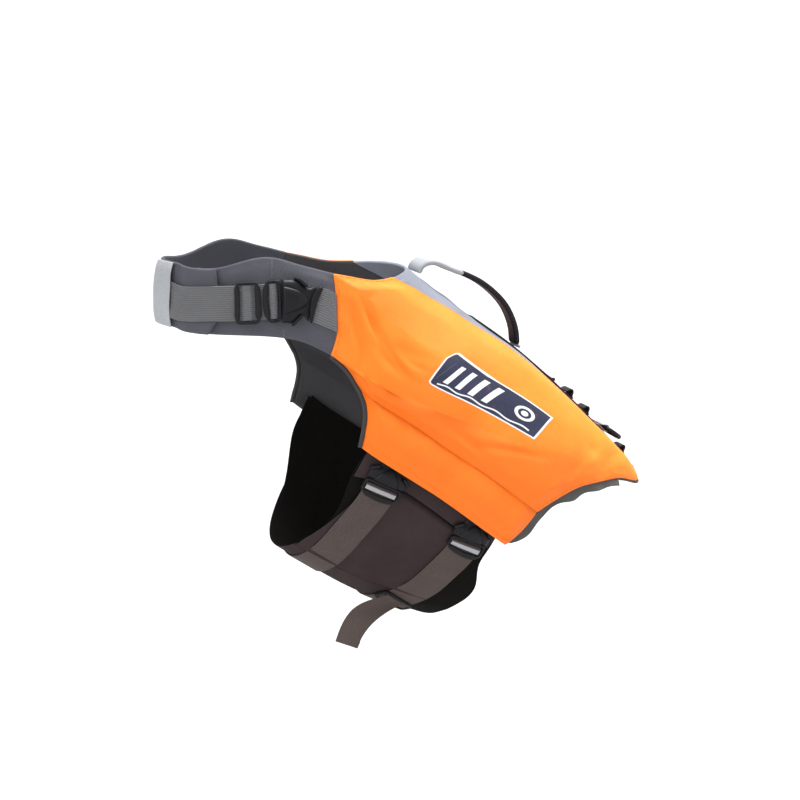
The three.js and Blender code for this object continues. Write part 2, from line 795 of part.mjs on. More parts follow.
const leftPad = collarPad(COLLAR_LEFT_LENGTH);
piece('collar_left', cloth({
  columns: steps(14),
  rows: steps(6),
  chart: patch({
    start: edge(COLLAR_SEAM),
    end: straight([0, 0], [0, 0]),
    top: aroundCollar(collarTop, topStart, COLLAR_LEFT_FRONT),
    bottom: aroundCollar(collarLow, lowStart, COLLAR_LEFT_FRONT),
  }),
  low: constant(LINING_LIFT),
  high: (u, v) => LINING_LIFT + leftPad(u, v),
}), charcoal);

const collarRightChart = patch({
  start: mirrored(edge(COLLAR_SEAM)),
  end: edge(COLLAR_FLAP_END),
  top: aroundCollar(collarTop, 360 - topStart, COLLAR_FLAP_END[0].angle),
  bottom: aroundCollar(collarLow, 360 - lowStart, COLLAR_FLAP_END.at(-1).angle),
});
function collarRightLow(u, v) {
  const angle = collarRightChart(u, v)[1];
  const raised = smooth((FLAP_STEP_FROM - angle) / (FLAP_STEP_FROM - FLAP_STEP_TO));
  return LINING_LIFT + (COLLAR_PAD + 2 * LAY_GAP) * raised;
}
const rightPad = collarPad(COLLAR_RIGHT_LENGTH);
piece('collar_right', cloth({
  columns: steps(30),
  rows: steps(6),
  chart: collarRightChart,
  low: collarRightLow,
  high: (u, v) => collarRightLow(u, v) + rightPad(u, v),
}), charcoal);

// Light webbing loop at the throat that holds the neck strap on the collar.
piece('collar_keeper', cloth({
  columns: steps(4),
  rows: steps(10),
  chart: (u, v) => {
    const angle = KEEPER.from + (KEEPER.to - KEEPER.from) * u;
    return [collarTop(fold(angle)) * (1 - v) + collarLow(fold(angle)) * v, angle];
  },
  low: (u, v) => keeperLift(v),
  high: (u, v) => keeperLift(v) + WEBBING,
}), webLight);

function keeperLift(v) {
  const over = smooth(v / KEEPER_RISE_SHARE) * smooth((1 - v) / KEEPER_RISE_SHARE);
  const onCollar = COLLAR_TOP_LIFT + LAY_GAP;
  return onCollar + KEEPER_RISE * over;
}

// A strap's way over the chest. x is the length along it in mm from the table's first row,
// y the distance to the side, height the lift over the chest.
function route(table, lift) {
  const line = edge(table);
  const count = 400;
  const lengths = [0];
  for (let i = 1; i <= count; i += 1) {
    const before = lifted(...line((i - 1) / count), lift);
    lengths.push(lengths[i - 1] + before.distanceTo(lifted(...line(i / count), lift)));
  }
  const share = (x) => {
    const next = lengths.findIndex((length) => length >= x);
    const i = next < 0 ? count : Math.max(next, 1);
    return (i - 1 + (x - lengths[i - 1]) / (lengths[i] - lengths[i - 1])) / count;
  };
  return {
    length: lengths[count],
    chart: (x, y) => beside(line, share(x), y),
    place: (x, y, height) => lifted(...beside(line, share(x), y), height),
    chartAt: (x) => line(share(x)),
    along: (column, value) => {
      let [from, to] = [0, lengths[count]];
      const rising = line(1)[column] > line(0)[column];
      for (let i = 0; i < 40; i += 1) {
        const middle = (from + to) / 2;
        if ((line(share(middle))[column] < value) === rising) from = middle;
        else to = middle;
      }
      return from;
    },
  };
}

// Even steps between marks along a strap, none longer than the given step.
function stations(marks, longest) {
  return marks.slice(1).reduce((list, mark, i) => {
    const count = Math.ceil((mark - marks[i]) / longest);
    return [...list, ...steps(count, marks[i], mark).slice(1)];
  }, [marks[0]]);
}

// Webbing on a route, from one length to another; base(x) is its lift, and each bar that it
// climbs over raises it between the marks rise and fall. lean(y) slants its first end.
function strap({ way, from, to, base, bars = [], width = WEBBING_WIDTH, lean = constant(0) }) {
  const marks = [from, ...bars.flatMap((bar) => [bar.rise, bar.top, bar.end, bar.fall]), to];
  const low = (x) => {
    const over = bars.map((bar) => (
      interpolate([
        { x: bar.rise, share: 0 },
        { x: bar.top, share: 1 },
        { x: bar.end, share: 1 },
        { x: bar.fall, share: 0 },
      ], 'x', 'share', x)
    ));
    return base(x) + BAR_CLIMB * Math.max(0, ...over);
  };
  return solid({
    columns: stations([...new Set(marks)].sort((a, b) => a - b), STRAP_STEP),
    rows: steps(4, -width / 2, width / 2),
    place: (x, y, height) => {
      const share = Math.max(0, 1 - (x - from) / STRAP_LEAN_LENGTH);
      return way.place(x + lean(y) * share, y, height);
    },
    low,
    high: (x) => low(x) + WEBBING,
  });
}

// Frame of a slider or of a buckle's strap end: two end bars over the webbing and a middle bar
// under it, between two side rails. Returns the solid and the marks of its middle bar.
function frame({ way, from, to, base, ends, bar }) {
  const middle = (from + ends[0] + to - ends[1]) / 2;
  const marks = [from, from + ends[0], middle - bar / 2, middle + bar / 2, to - ends[1], to];
  const columns = stations(marks, FRAME_STEP);
  const isWindow = (x) => (
    (x > marks[1] && x < marks[2]) || (x > marks[3] && x < marks[4])
  );
  const isMiddle = (x) => x >= marks[2] - 0.01 && x <= marks[3] + 0.01;
  const rows = [-FRAME_WIDTH / 2, ...steps(4, -WINDOW_WIDTH / 2, WINDOW_WIDTH / 2), FRAME_WIDTH / 2];
  const onRail = (y) => Math.abs(y) > WINDOW_WIDTH / 2 + 0.01;
  const lowOver = WEBBING + LAY_GAP;
  const geometry = solid({
    columns,
    rows,
    place: way.place,
    low: (x, y) => base(x) + (onRail(y) || isMiddle(x) ? RAIL_LOW : lowOver),
    high: (x, y) => base(x) + (isMiddle(x) && !onRail(y) ? RAIL_LOW + MIDDLE_BAR : lowOver + BAR),
    open: (i, j) => isWindow((columns[i] + columns[i + 1]) / 2) && j > 0 && j < rows.length - 2,
  });
  const overBar = {
    rise: marks[2] - BAR_RAMP,
    top: marks[2] - BAR_SIDE_GAP,
    end: marks[3] + BAR_SIDE_GAP,
    fall: marks[3] + BAR_RAMP,
  };
  return { geometry, overBar };
}

// Body of a buckle: an end bar over the sewn webbing, a slot, and a crowned case that narrows
// at the thumb cut-outs and opens at the far end, where the other half goes in.
function buckleBody({ way, from, to, base, height }) {
  const slotFrom = from + BODY_BAR;
  const slotTo = slotFrom + BODY_SLOT;
  const marks = [from, slotFrom, slotTo, to];
  const columns = stations(marks, FRAME_STEP);
  const inCase = (x) => x >= slotTo - 0.01;
  const share = (x) => (x - slotTo) / (to - slotTo);
  const halfWidth = (x) => {
    const thumbs = inCase(x) ? Math.sin(Math.PI * smooth(share(x) * 1.25)) * THUMB_DEPTH : 0;
    return BUCKLE_WIDTH / 2 - BODY_TAPER * (1 - smooth((x - from) / (to - from))) - thumbs;
  };
  const rows = [-1, -WINDOW_SHARE, -0.4, 0, 0.4, WINDOW_SHARE, 1];
  return solid({
    columns,
    rows,
    place: (x, v, lift) => way.place(x, v * halfWidth(x), lift),
    low: (x, v) => {
      const overWebbing = !inCase(x) && Math.abs(v) < 0.99;
      return base(x) + (overWebbing ? WEBBING + LAY_GAP : RAIL_LOW);
    },
    high: (x, v) => {
      const rise = inCase(x) ? smooth(share(x) * 1.6) : 0;
      const full = BODY_END_HEIGHT + (height - BODY_END_HEIGHT) * rise;
      return base(x) + full * (1 - BODY_ROUNDING * v * v);
    },
    open: (i, j) => {
      const x = (columns[i] + columns[i + 1]) / 2;
      return x > slotFrom && x < slotTo && j > 0 && j < rows.length - 2;
    },
  });
}

// Neck strap with its slider and buckle.
const neckWay = route(NECK_STRAP, COLLAR_TOP_LIFT);
const neckAt = (angle) => neckWay.along(1, angle);
const neckBase = (x) => interpolate(NECK_RISE, 'angle', 'lift', neckWay.chartAt(x)[1]);

const neckSlider = frame({
  way: neckWay,
  from: neckAt(NECK_SLIDER.from),
  to: neckAt(NECK_SLIDER.to),
  base: neckBase,
  ends: SLIDER_ENDS,
  bar: SLIDER_BAR,
});
piece('collar_slider', neckSlider.geometry, plastic);

const neckLadder = frame({
  way: neckWay,
  from: neckAt(NECK_LADDER.from),
  to: neckAt(NECK_LADDER.to),
  base: neckBase,
  ends: LADDER_ENDS,
  bar: LADDER_BAR,
});
piece('collar_buckle_male', neckLadder.geometry, plastic);

piece('collar_buckle_female', buckleBody({
  way: neckWay,
  from: neckAt(NECK_BODY.from),
  to: neckAt(NECK_BODY.to),
  base: neckBase,
  height: NECK_BODY_HEIGHT,
}), plastic);

piece('collar_strap_front', strap({
  way: neckWay,
  from: neckLadder.overBar.rise,
  to: neckWay.length,
  base: neckBase,
  bars: [neckLadder.overBar, neckSlider.overBar],
}), webGrey);

// Length on the neck strap at which a thread of it, y from its middle, meets the collar seam.
const seamAngle = splineOf(COLLAR_SEAM, 'ring', 'angle');
function strapAtSeam(y) {
  let [before, past] = [-STRAP_LEAN_LENGTH, STRAP_LEAN_LENGTH];
  for (let i = 0; i < 30; i += 1) {
    const middle = (before + past) / 2;
    const [ring, angle] = neckWay.chart(middle, y);
    if (angle < seamAngle(ring) + STRAP_SEAM_DEGREES) before = middle;
    else past = middle;
  }
  return before;
}
piece('collar_strap_rear', strap({
  way: neckWay,
  from: 0,
  to: neckAt(NECK_BODY.from) + BODY_BAR + BODY_SLOT / 2,
  base: neckBase,
  lean: strapAtSeam,
}), webGrey);

// Belly: the black inner panel from one side panel to the other.
const bandFront = splineOf(BAND_FRONT, 'angle', 'ring');
const bandRear = splineOf(BAND_REAR, 'angle', 'ring');
piece('belly_band', cloth({
  columns: steps(8),
  rows: steps(34),
  chart: (u, v) => {
    const angle = BAND_FRONT[0].angle * (1 - v) + (360 - BAND_FRONT[0].angle) * v;
    return [bandFront(fold(angle)) * (1 - u) + bandRear(fold(angle)) * u, angle];
  },
  low: constant(LINING_LIFT),
  high: constant(BAND_TOP_LIFT),
}), blackCloth);

// Grey strips that come out from under the side panels' lower edges.
const stripLow = splineOf(STRIP_LOW, 'ring', 'angle');
bothSides((name, side) => {
  piece(`side_strip_${name}`, cloth({
    columns: steps(12),
    rows: steps(3),
    chart: (u, v) => {
      const ring = STRIP_LOW[0].ring * (1 - u) + STRIP_LOW.at(-1).ring * u;
      const slant = STRIP_SLANT * (1 - u) * (1 - v);
      return [ring - slant, STRIP_TOP_ANGLE * (1 - v) + stripLow(ring) * v];
    },
    low: constant(FLAP_LIFT),
    high: constant(FLAP_TOP_LIFT),
    side,
  }), flapGrey);
});

// Outer belly flaps, which meet in a fold under the left side.
const flapFold = splineOf(FLAP_FOLD, 'ring', 'angle');
const flapRing = (u) => FLAP_FOLD[0].ring * (1 - u) + FLAP_FOLD.at(-1).ring * u;
piece('belly_flap_left', cloth({
  columns: steps(9),
  rows: steps(9),
  chart: (u, v) => {
    const ring = flapRing(u);
    const [from, to] = [stripLow(ring) + FLAP_SEAM_GAP, flapFold(ring) - FLAP_SEAM_GAP];
    return [ring, from * (1 - v) + to * v];
  },
  low: constant(FLAP_LIFT),
  high: constant(FLAP_TOP_LIFT),
}), flapGrey);
piece('belly_flap_right', cloth({
  columns: steps(9),
  rows: steps(20),
  chart: (u, v) => {
    const ring = flapRing(u);
    const [from, to] = [flapFold(ring), 360 - stripLow(ring) - FLAP_SEAM_GAP];
    return [ring, from * (1 - v) + to * v];
  },
  low: constant(FLAP_LIFT),
  high: constant(FLAP_TOP_LIFT),
}), flapGrey);

// Belly straps with their buckles on the left side; the rear strap also runs through a slider.
const bellyBase = constant(BELLY_STRAP_LIFT);
let tailStart;
[['front', BELLY_STRAP_FRONT], ['rear', BELLY_STRAP_REAR]].forEach(([name, table]) => {
  const way = route(table, BELLY_STRAP_LIFT);
  const at = (angle) => way.along(1, angle);
  const edgeAt = at(PANEL_EDGE_ANGLE[name]);
  const bodyFrom = edgeAt - BODY_TUCK;
  const ladderFrom = bodyFrom + BELLY_BODY_LENGTH + LAY_GAP;
  piece(`belly_buckle_${name}_female`, buckleBody({
    way,
    from: bodyFrom,
    to: bodyFrom + BELLY_BODY_LENGTH,
    base: bellyBase,
    height: BELLY_BODY_HEIGHT,
  }), plastic);
  const ladder = frame({
    way,
    from: ladderFrom,
    to: ladderFrom + LADDER_LENGTH,
    base: bellyBase,
    ends: LADDER_ENDS,
    bar: LADDER_BAR,
  });
  piece(`belly_buckle_${name}_male`, ladder.geometry, plastic);
  piece(`buckle_tab_${name}`, strap({
    way,
    from: bodyFrom - TAB_LENGTH,
    to: bodyFrom + BODY_BAR + BODY_SLOT / 2,
    base: bellyBase,
  }), webBlack);
  const bars = [ladder.overBar];
  if (name === 'rear') {
    const sliderFrom = at(BELLY_SLIDER.from);
    const overSlider = BELLY_STRAP_LIFT + 2 * WEBBING + BAR + 2 * LAY_GAP;
    tailStart = TAIL_ON_SLIDER.map((y) => way.place(sliderFrom + 2, y, overSlider));
    const slider = frame({
      way,
      from: sliderFrom,
      to: at(BELLY_SLIDER.to),
      base: bellyBase,
      ends: SLIDER_ENDS,
      bar: SLIDER_BAR,
    });
    piece('belly_slider', slider.geometry, plastic);
    bars.push(slider.overBar);
  }
  piece(`belly_strap_${name}`, strap({
    way,
    from: ladder.overBar.rise,
    to: way.length,
    base: bellyBase,
    bars,
  }), webBrown);
});

// Free end of the rear belly strap: webbing between its two edges.
const toCurve = (points) => (
  new THREE.CatmullRomCurve3(points.map(({ x, y = 0, z }) => new THREE.Vector3(x, y, z)))
);
const tailFront = toCurve([tailStart[0], ...TAIL_FRONT_EDGE]);
const tailRear = toCurve([tailStart[1], ...TAIL_REAR_EDGE]);
piece('strap_tail', solid({
  columns: steps(10),
  rows: steps(4),
  place: (u, v, height) => {
    const front = tailFront.getPointAt(u);
    const rear = tailRear.getPointAt(u);
    const along = tailFront.getTangentAt(u).add(tailRear.getTangentAt(u));
    const out = rear.clone().sub(front).cross(along).normalize();
    return front.lerp(rear, v).addScaledVector(out, height);
  },
  low: constant(0),
  high: constant(WEBBING),
}), webBrown);

// A flat piece bent in the plane of the spine, of one width, with rounded sides if asked.
function ribbon({ points, width, thickness, columns, roundness = 0 }) {
  const curve = toCurve(points);
  const half = (y) => (thickness / 2) * (1 - roundness * Math.abs((2 * y) / width) ** 3);
  return solid({
    columns: steps(columns),
    rows: steps(roundness > 0 ? 6 : 2, -width / 2, width / 2),
    place: (u, y, height) => {
      const tangent = curve.getTangentAt(u);
      const normal = new THREE.Vector3(-tangent.z, 0, tangent.x);
      return curve.getPointAt(u).addScaledVector(normal, height).add(new THREE.Vector3(0, y, 0));
    },
    low: (u, y) => -half(y),
    high: (u, y) => half(y),
  });
}

const onSpine = (ring, lift) => lifted(ring, 0, lift);

// Grab handle: a padded webbing end, a rubber grip and a short rear end.
piece('handle_webbing_front', ribbon({
  points: [
    onSpine(HANDLE_FRONT_RING, SPINE_TOP_LIFT + LAY_GAP + HANDLE_FOOT_LIFT),
    ...HANDLE_FRONT,
  ],
  width: HANDLE_WIDTH,
  thickness: HANDLE_PADDING,
  columns: 18,
  roundness: 0.6,
}), webLight);
piece('handle_grip', ribbon({
  points: HANDLE_GRIP,
  width: GRIP_WIDTH,
  thickness: GRIP_THICKNESS,
  columns: 18,
  roundness: 0.6,
}), rubber);
piece('handle_webbing_rear', ribbon({
  points: [
    HANDLE_REAR,
    onSpine(HANDLE_REAR_RING, SPINE_WEBBING_TOP + LAY_GAP + HANDLE_FOOT_LIFT),
  ],
  width: TAB_WEBBING_WIDTH,
  thickness: HANDLE_WEBBING,
  columns: 6,
}), webLight);

// Black webbing along the back, and the three loops that it forms.
const spineWay = route(SPINE_ROUTE, SPINE_WEBBING_LIFT);
piece('spine_webbing', strap({
  way: spineWay,
  from: 0,
  to: spineWay.length,
  base: constant(SPINE_WEBBING_LIFT),
}), webBlack);

const spineTop = (x, height) => (
  spineWay.place(x, 0, SPINE_WEBBING_TOP + LAY_GAP + WEBBING / 2 + height)
);
SPINE_LOOPS.forEach(({ ring, length, height }, i) => {
  const start = spineWay.along(0, ring);
  const points = LOOP_PROFILE.map((row) => spineTop(start + row.along * length, row.up * height));
  piece(`spine_loop_${i + 1}`, ribbon({
    points,
    width: LOOP_WIDTH,
    thickness: WEBBING,
    columns: 16,
  }), webBlack);
});

// Ring at the tail end of the back, and the webbing tab that holds its straight bar.
const hingeX = spineWay.along(0, RING_HINGE_RING);
const hinge = spineWay.place(hingeX, 0, SPINE_WEBBING_TOP + LAY_GAP + TAB_BORE + WEBBING);
const tailward = spineWay.place(hingeX + 1, 0, 0).sub(spineWay.place(hingeX - 1, 0, 0)).normalize();
const upward = new THREE.Vector3(-tailward.z, 0, tailward.x);

const tabShape = new THREE.Shape();
const tabRadius = TAB_BORE + WEBBING;
tabShape.moveTo(-TAB_SEWN_LENGTH, -tabRadius);
tabShape.lineTo(0, -tabRadius);
tabShape.absarc(0, 0, tabRadius, -Math.PI / 2, Math.PI * 0.6, false);
tabShape.lineTo(-TAB_SEWN_LENGTH, -tabRadius + 2 * WEBBING);
tabShape.closePath();
tabShape.holes.push(new THREE.Path().absarc(0, 0, TAB_BORE, 0, 2 * Math.PI, true));
const tab = new THREE.ExtrudeGeometry(tabShape, {
  depth: TAB_WEBBING_WIDTH,
  bevelEnabled: false,
  curveSegments: 12,
});
tab.translate(0, 0, -TAB_WEBBING_WIDTH / 2);
const sideways = new THREE.Vector3().crossVectors(tailward, upward);
const hingeFrame = new THREE.Matrix4().makeBasis(tailward, upward, sideways).setPosition(hinge);
piece('d_ring_tab', tab, webLight).applyMatrix4(hingeFrame);

// Closed rod round a D: a straight bar through the tab and a bow towards the tail.
const rodLine = [];
const barHalf = (RING_INNER_WIDTH + RING_ROD) / 2;
const bowLength = RING_INNER_LENGTH + RING_ROD;
steps(BAR_STOPS - 1, -1, 1).forEach((s) => rodLine.push([0, s * (barHalf - CORNER)]));
steps(BOW_STOPS - 1, 1, -1).forEach((s) => {
  const turn = (s * Math.PI) / 2;
  const bow = Math.abs(Math.cos(turn)) ** 0.8;
  rodLine.push([CORNER + (bowLength - CORNER) * bow, barHalf * Math.sin(turn)]);
});
const rodSides = 8;
const rodPoints = [];
const rodFaces = [];
rodLine.forEach(([along, across], i) => {
  const count = rodLine.length;
  const before = rodLine[(i + count - 1) % count];
  const after = rodLine[(i + 1) % count];
  const way = new THREE.Vector2(after[0] - before[0], after[1] - before[1]).normalize();
  for (let k = 0; k < rodSides; k += 1) {
    const turn = (2 * Math.PI * k) / rodSides;
    const aside = (RING_ROD / 2) * Math.cos(turn);
    rodPoints.push(along + way.y * aside, (RING_ROD / 2) * Math.sin(turn), across - way.x * aside);
    const [a, b] = [i * rodSides, ((i + 1) % count) * rodSides];
    const next = (k + 1) % rodSides;
    rodFaces.push(a + k, b + k, b + next, a + k, b + next, a + next);
  }
});
const ringFrame = hingeFrame.clone().multiply(
  new THREE.Matrix4().makeRotationZ(RING_REST_TILT * DEG),
);
piece('d_ring', closedBody(rodPoints, rodFaces), plastic).applyMatrix4(ringFrame);

export default garment;
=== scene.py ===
import math

import bpy
import numpy as np
from mathutils import Matrix, Vector


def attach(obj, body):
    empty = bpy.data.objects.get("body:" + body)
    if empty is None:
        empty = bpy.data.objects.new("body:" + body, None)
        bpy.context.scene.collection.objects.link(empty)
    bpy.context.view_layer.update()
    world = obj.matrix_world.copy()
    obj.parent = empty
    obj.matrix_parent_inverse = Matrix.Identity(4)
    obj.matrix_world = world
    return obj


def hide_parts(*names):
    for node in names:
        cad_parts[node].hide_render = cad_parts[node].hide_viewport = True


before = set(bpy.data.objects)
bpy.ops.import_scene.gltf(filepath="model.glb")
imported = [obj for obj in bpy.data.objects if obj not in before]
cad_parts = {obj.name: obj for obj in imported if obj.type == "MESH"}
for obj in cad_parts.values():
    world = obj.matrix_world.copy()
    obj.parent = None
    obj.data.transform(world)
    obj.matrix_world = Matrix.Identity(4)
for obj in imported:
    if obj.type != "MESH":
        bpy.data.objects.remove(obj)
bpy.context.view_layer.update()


# Side panels. Two foam-filled orange panels, one on each side, sewn from woven nylon round soft
# foam. A channel sewn along the lower edge parts the foam in two; the spine, collar, armhole
# and hem edges are stitched flat.

# The chest's rings from neck to tail, in mm: x and z of the top, x and z of the lowest point,
# and half the width.
RINGS = [
    (-84, 66, -350, 104, 82),
    (-64, 50, -354, 28, 94),
    (-46, 36, -352, -72, 107),
    (-23, 19, -292, -190, 116),
    (0, 0, -210, -260, 119),
    (48, -35, -133, -309, 119),
    (104, -84, -48, -347, 115),
    (158, -138, 30, -362, 105),
    (208, -193, 105, -362, 92),
]
EGG = 0.07  # share by which a ring is broader above its middle than below it
RING_MM, DEGREE_MM = 65, 2  # rough length over the chest of one ring and of one degree
NUDGE, AHEAD = 0.01, 0.004  # steps for slopes: in rings or degrees, and in shares of a line
SIDES = (("left", 1), ("right", -1))


def cubic(knots, rows):
    """Natural cubic spline: between two knots, the straight blend of their rows plus a cubic
    share of each one's bend, with bends solved so that slopes meet at every knot."""
    knots = np.asarray(knots, float)
    rows = np.asarray(rows, float).reshape(len(knots), -1)
    step = np.diff(knots)
    inner = np.arange(1, len(knots) - 1)
    matrix = np.eye(len(knots))
    matrix[inner, inner - 1] = step[:-1]
    matrix[inner, inner] = 2 * (step[:-1] + step[1:])
    matrix[inner, inner + 1] = step[1:]
    right = np.zeros_like(rows)
    right[1:-1] = 6 * np.diff(np.diff(rows, axis=0) / step[:, None], axis=0)
    bends = np.linalg.solve(matrix, right)

    def at(s):
        s = np.asarray(s, float)
        k = np.clip(np.searchsorted(knots, s) - 1, 0, len(knots) - 2)
        span = step[k][..., None]
        b = (s - knots[k])[..., None] / span
        a = 1 - b
        bent = (a**3 - a) * bends[k] + (b**3 - b) * bends[k + 1]
        return a * rows[k] + b * rows[k + 1] + bent * span**2 / 6

    return at


ring_row = cubic(range(len(RINGS)), RINGS)


def chest(ring, angle):
    """Point of the chest, in mm: an egg between the ring's top and low points, of its half
    width; the angle is in degrees from the spine, growing round the left side."""
    top_x, top_z, low_x, low_z, half = np.moveaxis(ring_row(ring), -1, 0)
    turn = np.radians(angle)
    return np.stack([
        (top_x + low_x) / 2 + (top_x - low_x) / 2 * np.cos(turn),
        -half * (1 + EGG * np.cos(turn)) * np.sin(turn),
        (top_z + low_z) / 2 + (top_z - low_z) / 2 * np.cos(turn),
    ], axis=-1)


def tangents(ring, angle):
    """Change of the chest's point per ring and per degree, from differences."""
    per_ring = (chest(ring + NUDGE, angle) - chest(ring - NUDGE, angle)) / (2 * NUDGE)
    per_degree = (chest(ring, angle + NUDGE) - chest(ring, angle - NUDGE)) / (2 * NUDGE)
    return per_ring, per_degree


def unit(vectors):
    return vectors / np.linalg.norm(vectors, axis=-1, keepdims=True)


def dot(a, b):
    return np.sum(a * b, axis=-1)


def blend(first, second, share):
    """The first place at share 0, the second at share 1, and a straight way between."""
    return first * (1 - share)[..., None] + second * share[..., None]


def lifted(ring, angle, lift):
    """The chest's point moved out along the chest's normal by the lift in mm."""
    per_ring, per_degree = tangents(ring, angle)
    out = unit(np.cross(per_degree, per_ring))
    return chest(ring, angle) + out * np.asarray(lift)[..., None]


def lengths_to(rows):
    """Length from the first row to each row, by straight steps."""
    return np.concatenate([[0], np.cumsum(np.linalg.norm(np.diff(rows, axis=0), axis=1))])


def edge(table):
    """Cubic line through a table's (ring, angle) places, spaced by their distance."""
    table = np.asarray(table, float)
    knots = lengths_to(table * (RING_MM, DEGREE_MM))
    line = cubic(knots, table)
    return lambda s: line(np.asarray(s, float) * knots[-1])


def beside(line, s, distance):
    """The chart place at a distance in mm to the side of a line's point, over the chest."""
    place = line(s)
    ahead = line(s + AHEAD) - line(s - AHEAD)
    per_ring, per_degree = tangents(place[..., 0], place[..., 1])
    along = per_ring * ahead[..., :1] + per_degree * ahead[..., 1:]
    side = unit(np.cross(np.cross(per_degree, per_ring), along))
    side = side * np.asarray(distance, float)[..., None]
    rr, ra, aa = dot(per_ring, per_ring), dot(per_ring, per_degree), dot(per_degree, per_degree)
    sr, sa = dot(side, per_ring), dot(side, per_degree)
    scale = rr * aa - ra * ra
    return place + np.stack([(sr * aa - sa * ra) / scale, (sa * rr - sr * ra) / scale], axis=-1)


def moved(line, distance):
    """A line shifted sideways over the chest by a distance in mm."""
    return lambda s: beside(line, np.asarray(s, float), np.full(np.shape(s), float(distance)))


def chain(lines, breaks):
    """Lines in a row; each takes its share of 0..1 between two breaks."""
    stops = [-np.inf, *breaks, np.inf]
    ends = [0, *breaks, 1]

    def at(s):
        s = np.asarray(s, float)
        place = np.zeros(s.shape + (2,))
        for i, line in enumerate(lines):
            mine = (s > stops[i]) & (s <= stops[i + 1])
            local = (s - ends[i]) / (ends[i + 1] - ends[i])
            place = np.where(mine[..., None], line(local), place)
        return place

    return at


def patch(start, end, top, bottom):
    """Chart of a four-sided piece: straight from its top line to its bottom line, plus the
    bulge of its start and end lines over their own chords, each fading across the piece."""

    def bulge(line, s):
        return line(s) - blend(line(np.zeros_like(s)), line(np.ones_like(s)), s)

    def at(u, v):
        u, v = np.broadcast_arrays(np.asarray(u, float), np.asarray(v, float))
        across = blend(top(u), bottom(u), v)
        return across + (1 - u)[..., None] * bulge(start, v) + u[..., None] * bulge(end, v)

    return at


def smooth(x):
    """0 below 0, 1 above 1, and the curve 3x2 - 2x3 between."""
    x = np.clip(x, 0, 1)
    return x * x * (3 - 2 * x)


def near_ends(share, length):
    """Distance in mm from the nearer end of a length, for a share of it."""
    return np.minimum(share, 1 - share) * length


def stations(length, roll, count):
    """Shares of 0..1: close together within the roll of both ends and even between."""
    near = np.array([0, 0.03, 0.12, 0.3, 0.6, 1]) * roll / length
    middle = np.linspace(near[-1], 1 - near[-1], count)
    return np.concatenate([near[:-1], middle, 1 - near[-2::-1]])


def rounding(share, length, roll):
    """Quarter circle: 0 at an end and 1 from the roll's distance on."""
    rest = 1 - np.clip(near_ends(share, length) / roll, 0, 1)
    return np.sqrt(np.clip(1 - rest**2, 0, 1))


def quads_of(index):
    """Four-cornered faces of a grid of point numbers."""
    corners = [index[:-1, :-1], index[1:, :-1], index[1:, 1:], index[:-1, 1:]]
    return np.stack(corners, -1).reshape(-1, 4)


def inside_out(points, quads):
    """Whether faces point in, by the sign of the volume that they close."""
    a, b, c, d = np.moveaxis(points[quads], 1, 0)
    return np.sum(a * np.cross(b, c)) + np.sum(a * np.cross(c, d)) < 0


def mesh_piece(name, points, quads, uv):
    """A smooth object from points in mm, faces and a place in metres on the flat cloth for
    each face corner. Its faces are turned to point out."""
    if inside_out(points, quads):
        quads, uv = quads[:, ::-1], uv[:, ::-1]
    mesh = bpy.data.meshes.new(name)
    mesh.vertices.add(len(points))
    mesh.vertices.foreach_set("co", (points / 1000).astype(np.float32).ravel())
    mesh.loops.add(quads.size)
    mesh.loops.foreach_set("vertex_index", np.ascontiguousarray(quads).astype(np.int32).ravel())
    mesh.polygons.add(len(quads))
    mesh.polygons.foreach_set("loop_start", np.arange(0, quads.size, 4, dtype=np.int32))
    layer = mesh.uv_layers.new(name="cut")
    layer.data.foreach_set("uv", np.ascontiguousarray(uv).astype(np.float32).ravel())
    mesh.update(calc_edges=True)
    mesh.polygons.foreach_set("use_smooth", np.ones(len(quads), bool))
    piece = bpy.data.objects.new(name, mesh)
    bpy.context.scene.collection.objects.link(piece)
    return piece


def shell(name, place, u, v, low, high, size, roll):
    """Closed shell: its skins lie at the heights low and high over the grid of u and v, and
    within the roll of each edge both close on their middle along a quarter circle. The inner
    skin has its place on the flat cloth below zero, so that a lining can be told by it.
    Returns the object and the outer skin's points."""
    u, v = np.meshgrid(u, v, indexing="ij")
    low, high = (skin + 0 * u if np.isscalar(skin) else skin(u, v) for skin in (low, high))
    middle = (low + high) / 2
    close = rounding(u, size[0], roll) * rounding(v, size[1], roll)
    outer = place(u, v, middle + (high - middle) * close)
    inner = place(u, v, middle + (low - middle) * close)
    top = np.arange(u.size).reshape(u.shape)
    under = top.copy()
    under[1:-1, 1:-1] = u.size + np.arange(top[1:-1, 1:-1].size).reshape(top[1:-1, 1:-1].shape)
    points = np.concatenate([outer.reshape(-1, 3), inner[1:-1, 1:-1].reshape(-1, 3)])
    flat = np.stack([u * size[0], v * size[1]], -1).reshape(-1, 2) / 1000
    uv = np.concatenate([flat[quads_of(top)], -0.01 - flat[quads_of(top)[:, ::-1]]])
    quads = np.concatenate([quads_of(top), quads_of(under)[:, ::-1]])
    return mesh_piece(name, points, quads, uv), outer


def waves(x, y, rows):
    """Sum of sine waves; each row is a height, a wave length, a direction in degrees and a
    phase."""
    total = 0
    for height, length, direction, phase in rows:
        turn = math.radians(direction)
        along = x * math.cos(turn) + y * math.sin(turn)
        total = total + height * np.sin(2 * math.pi * along / length + phase)
    return total


def pucker(along, away, height, length, width, phase):
    """Short folds that a row of stitches draws in: waves along the seam that die away from it
    as a bell, with a second, shorter wave so that they stay uneven."""
    first = np.sin(2 * math.pi * along / length + phase)
    second = np.sin(2 * math.pi * along / (length * 0.43) + 2 * phase)
    return height * (first + 0.6 * second) * np.exp(-((away / width) ** 2))


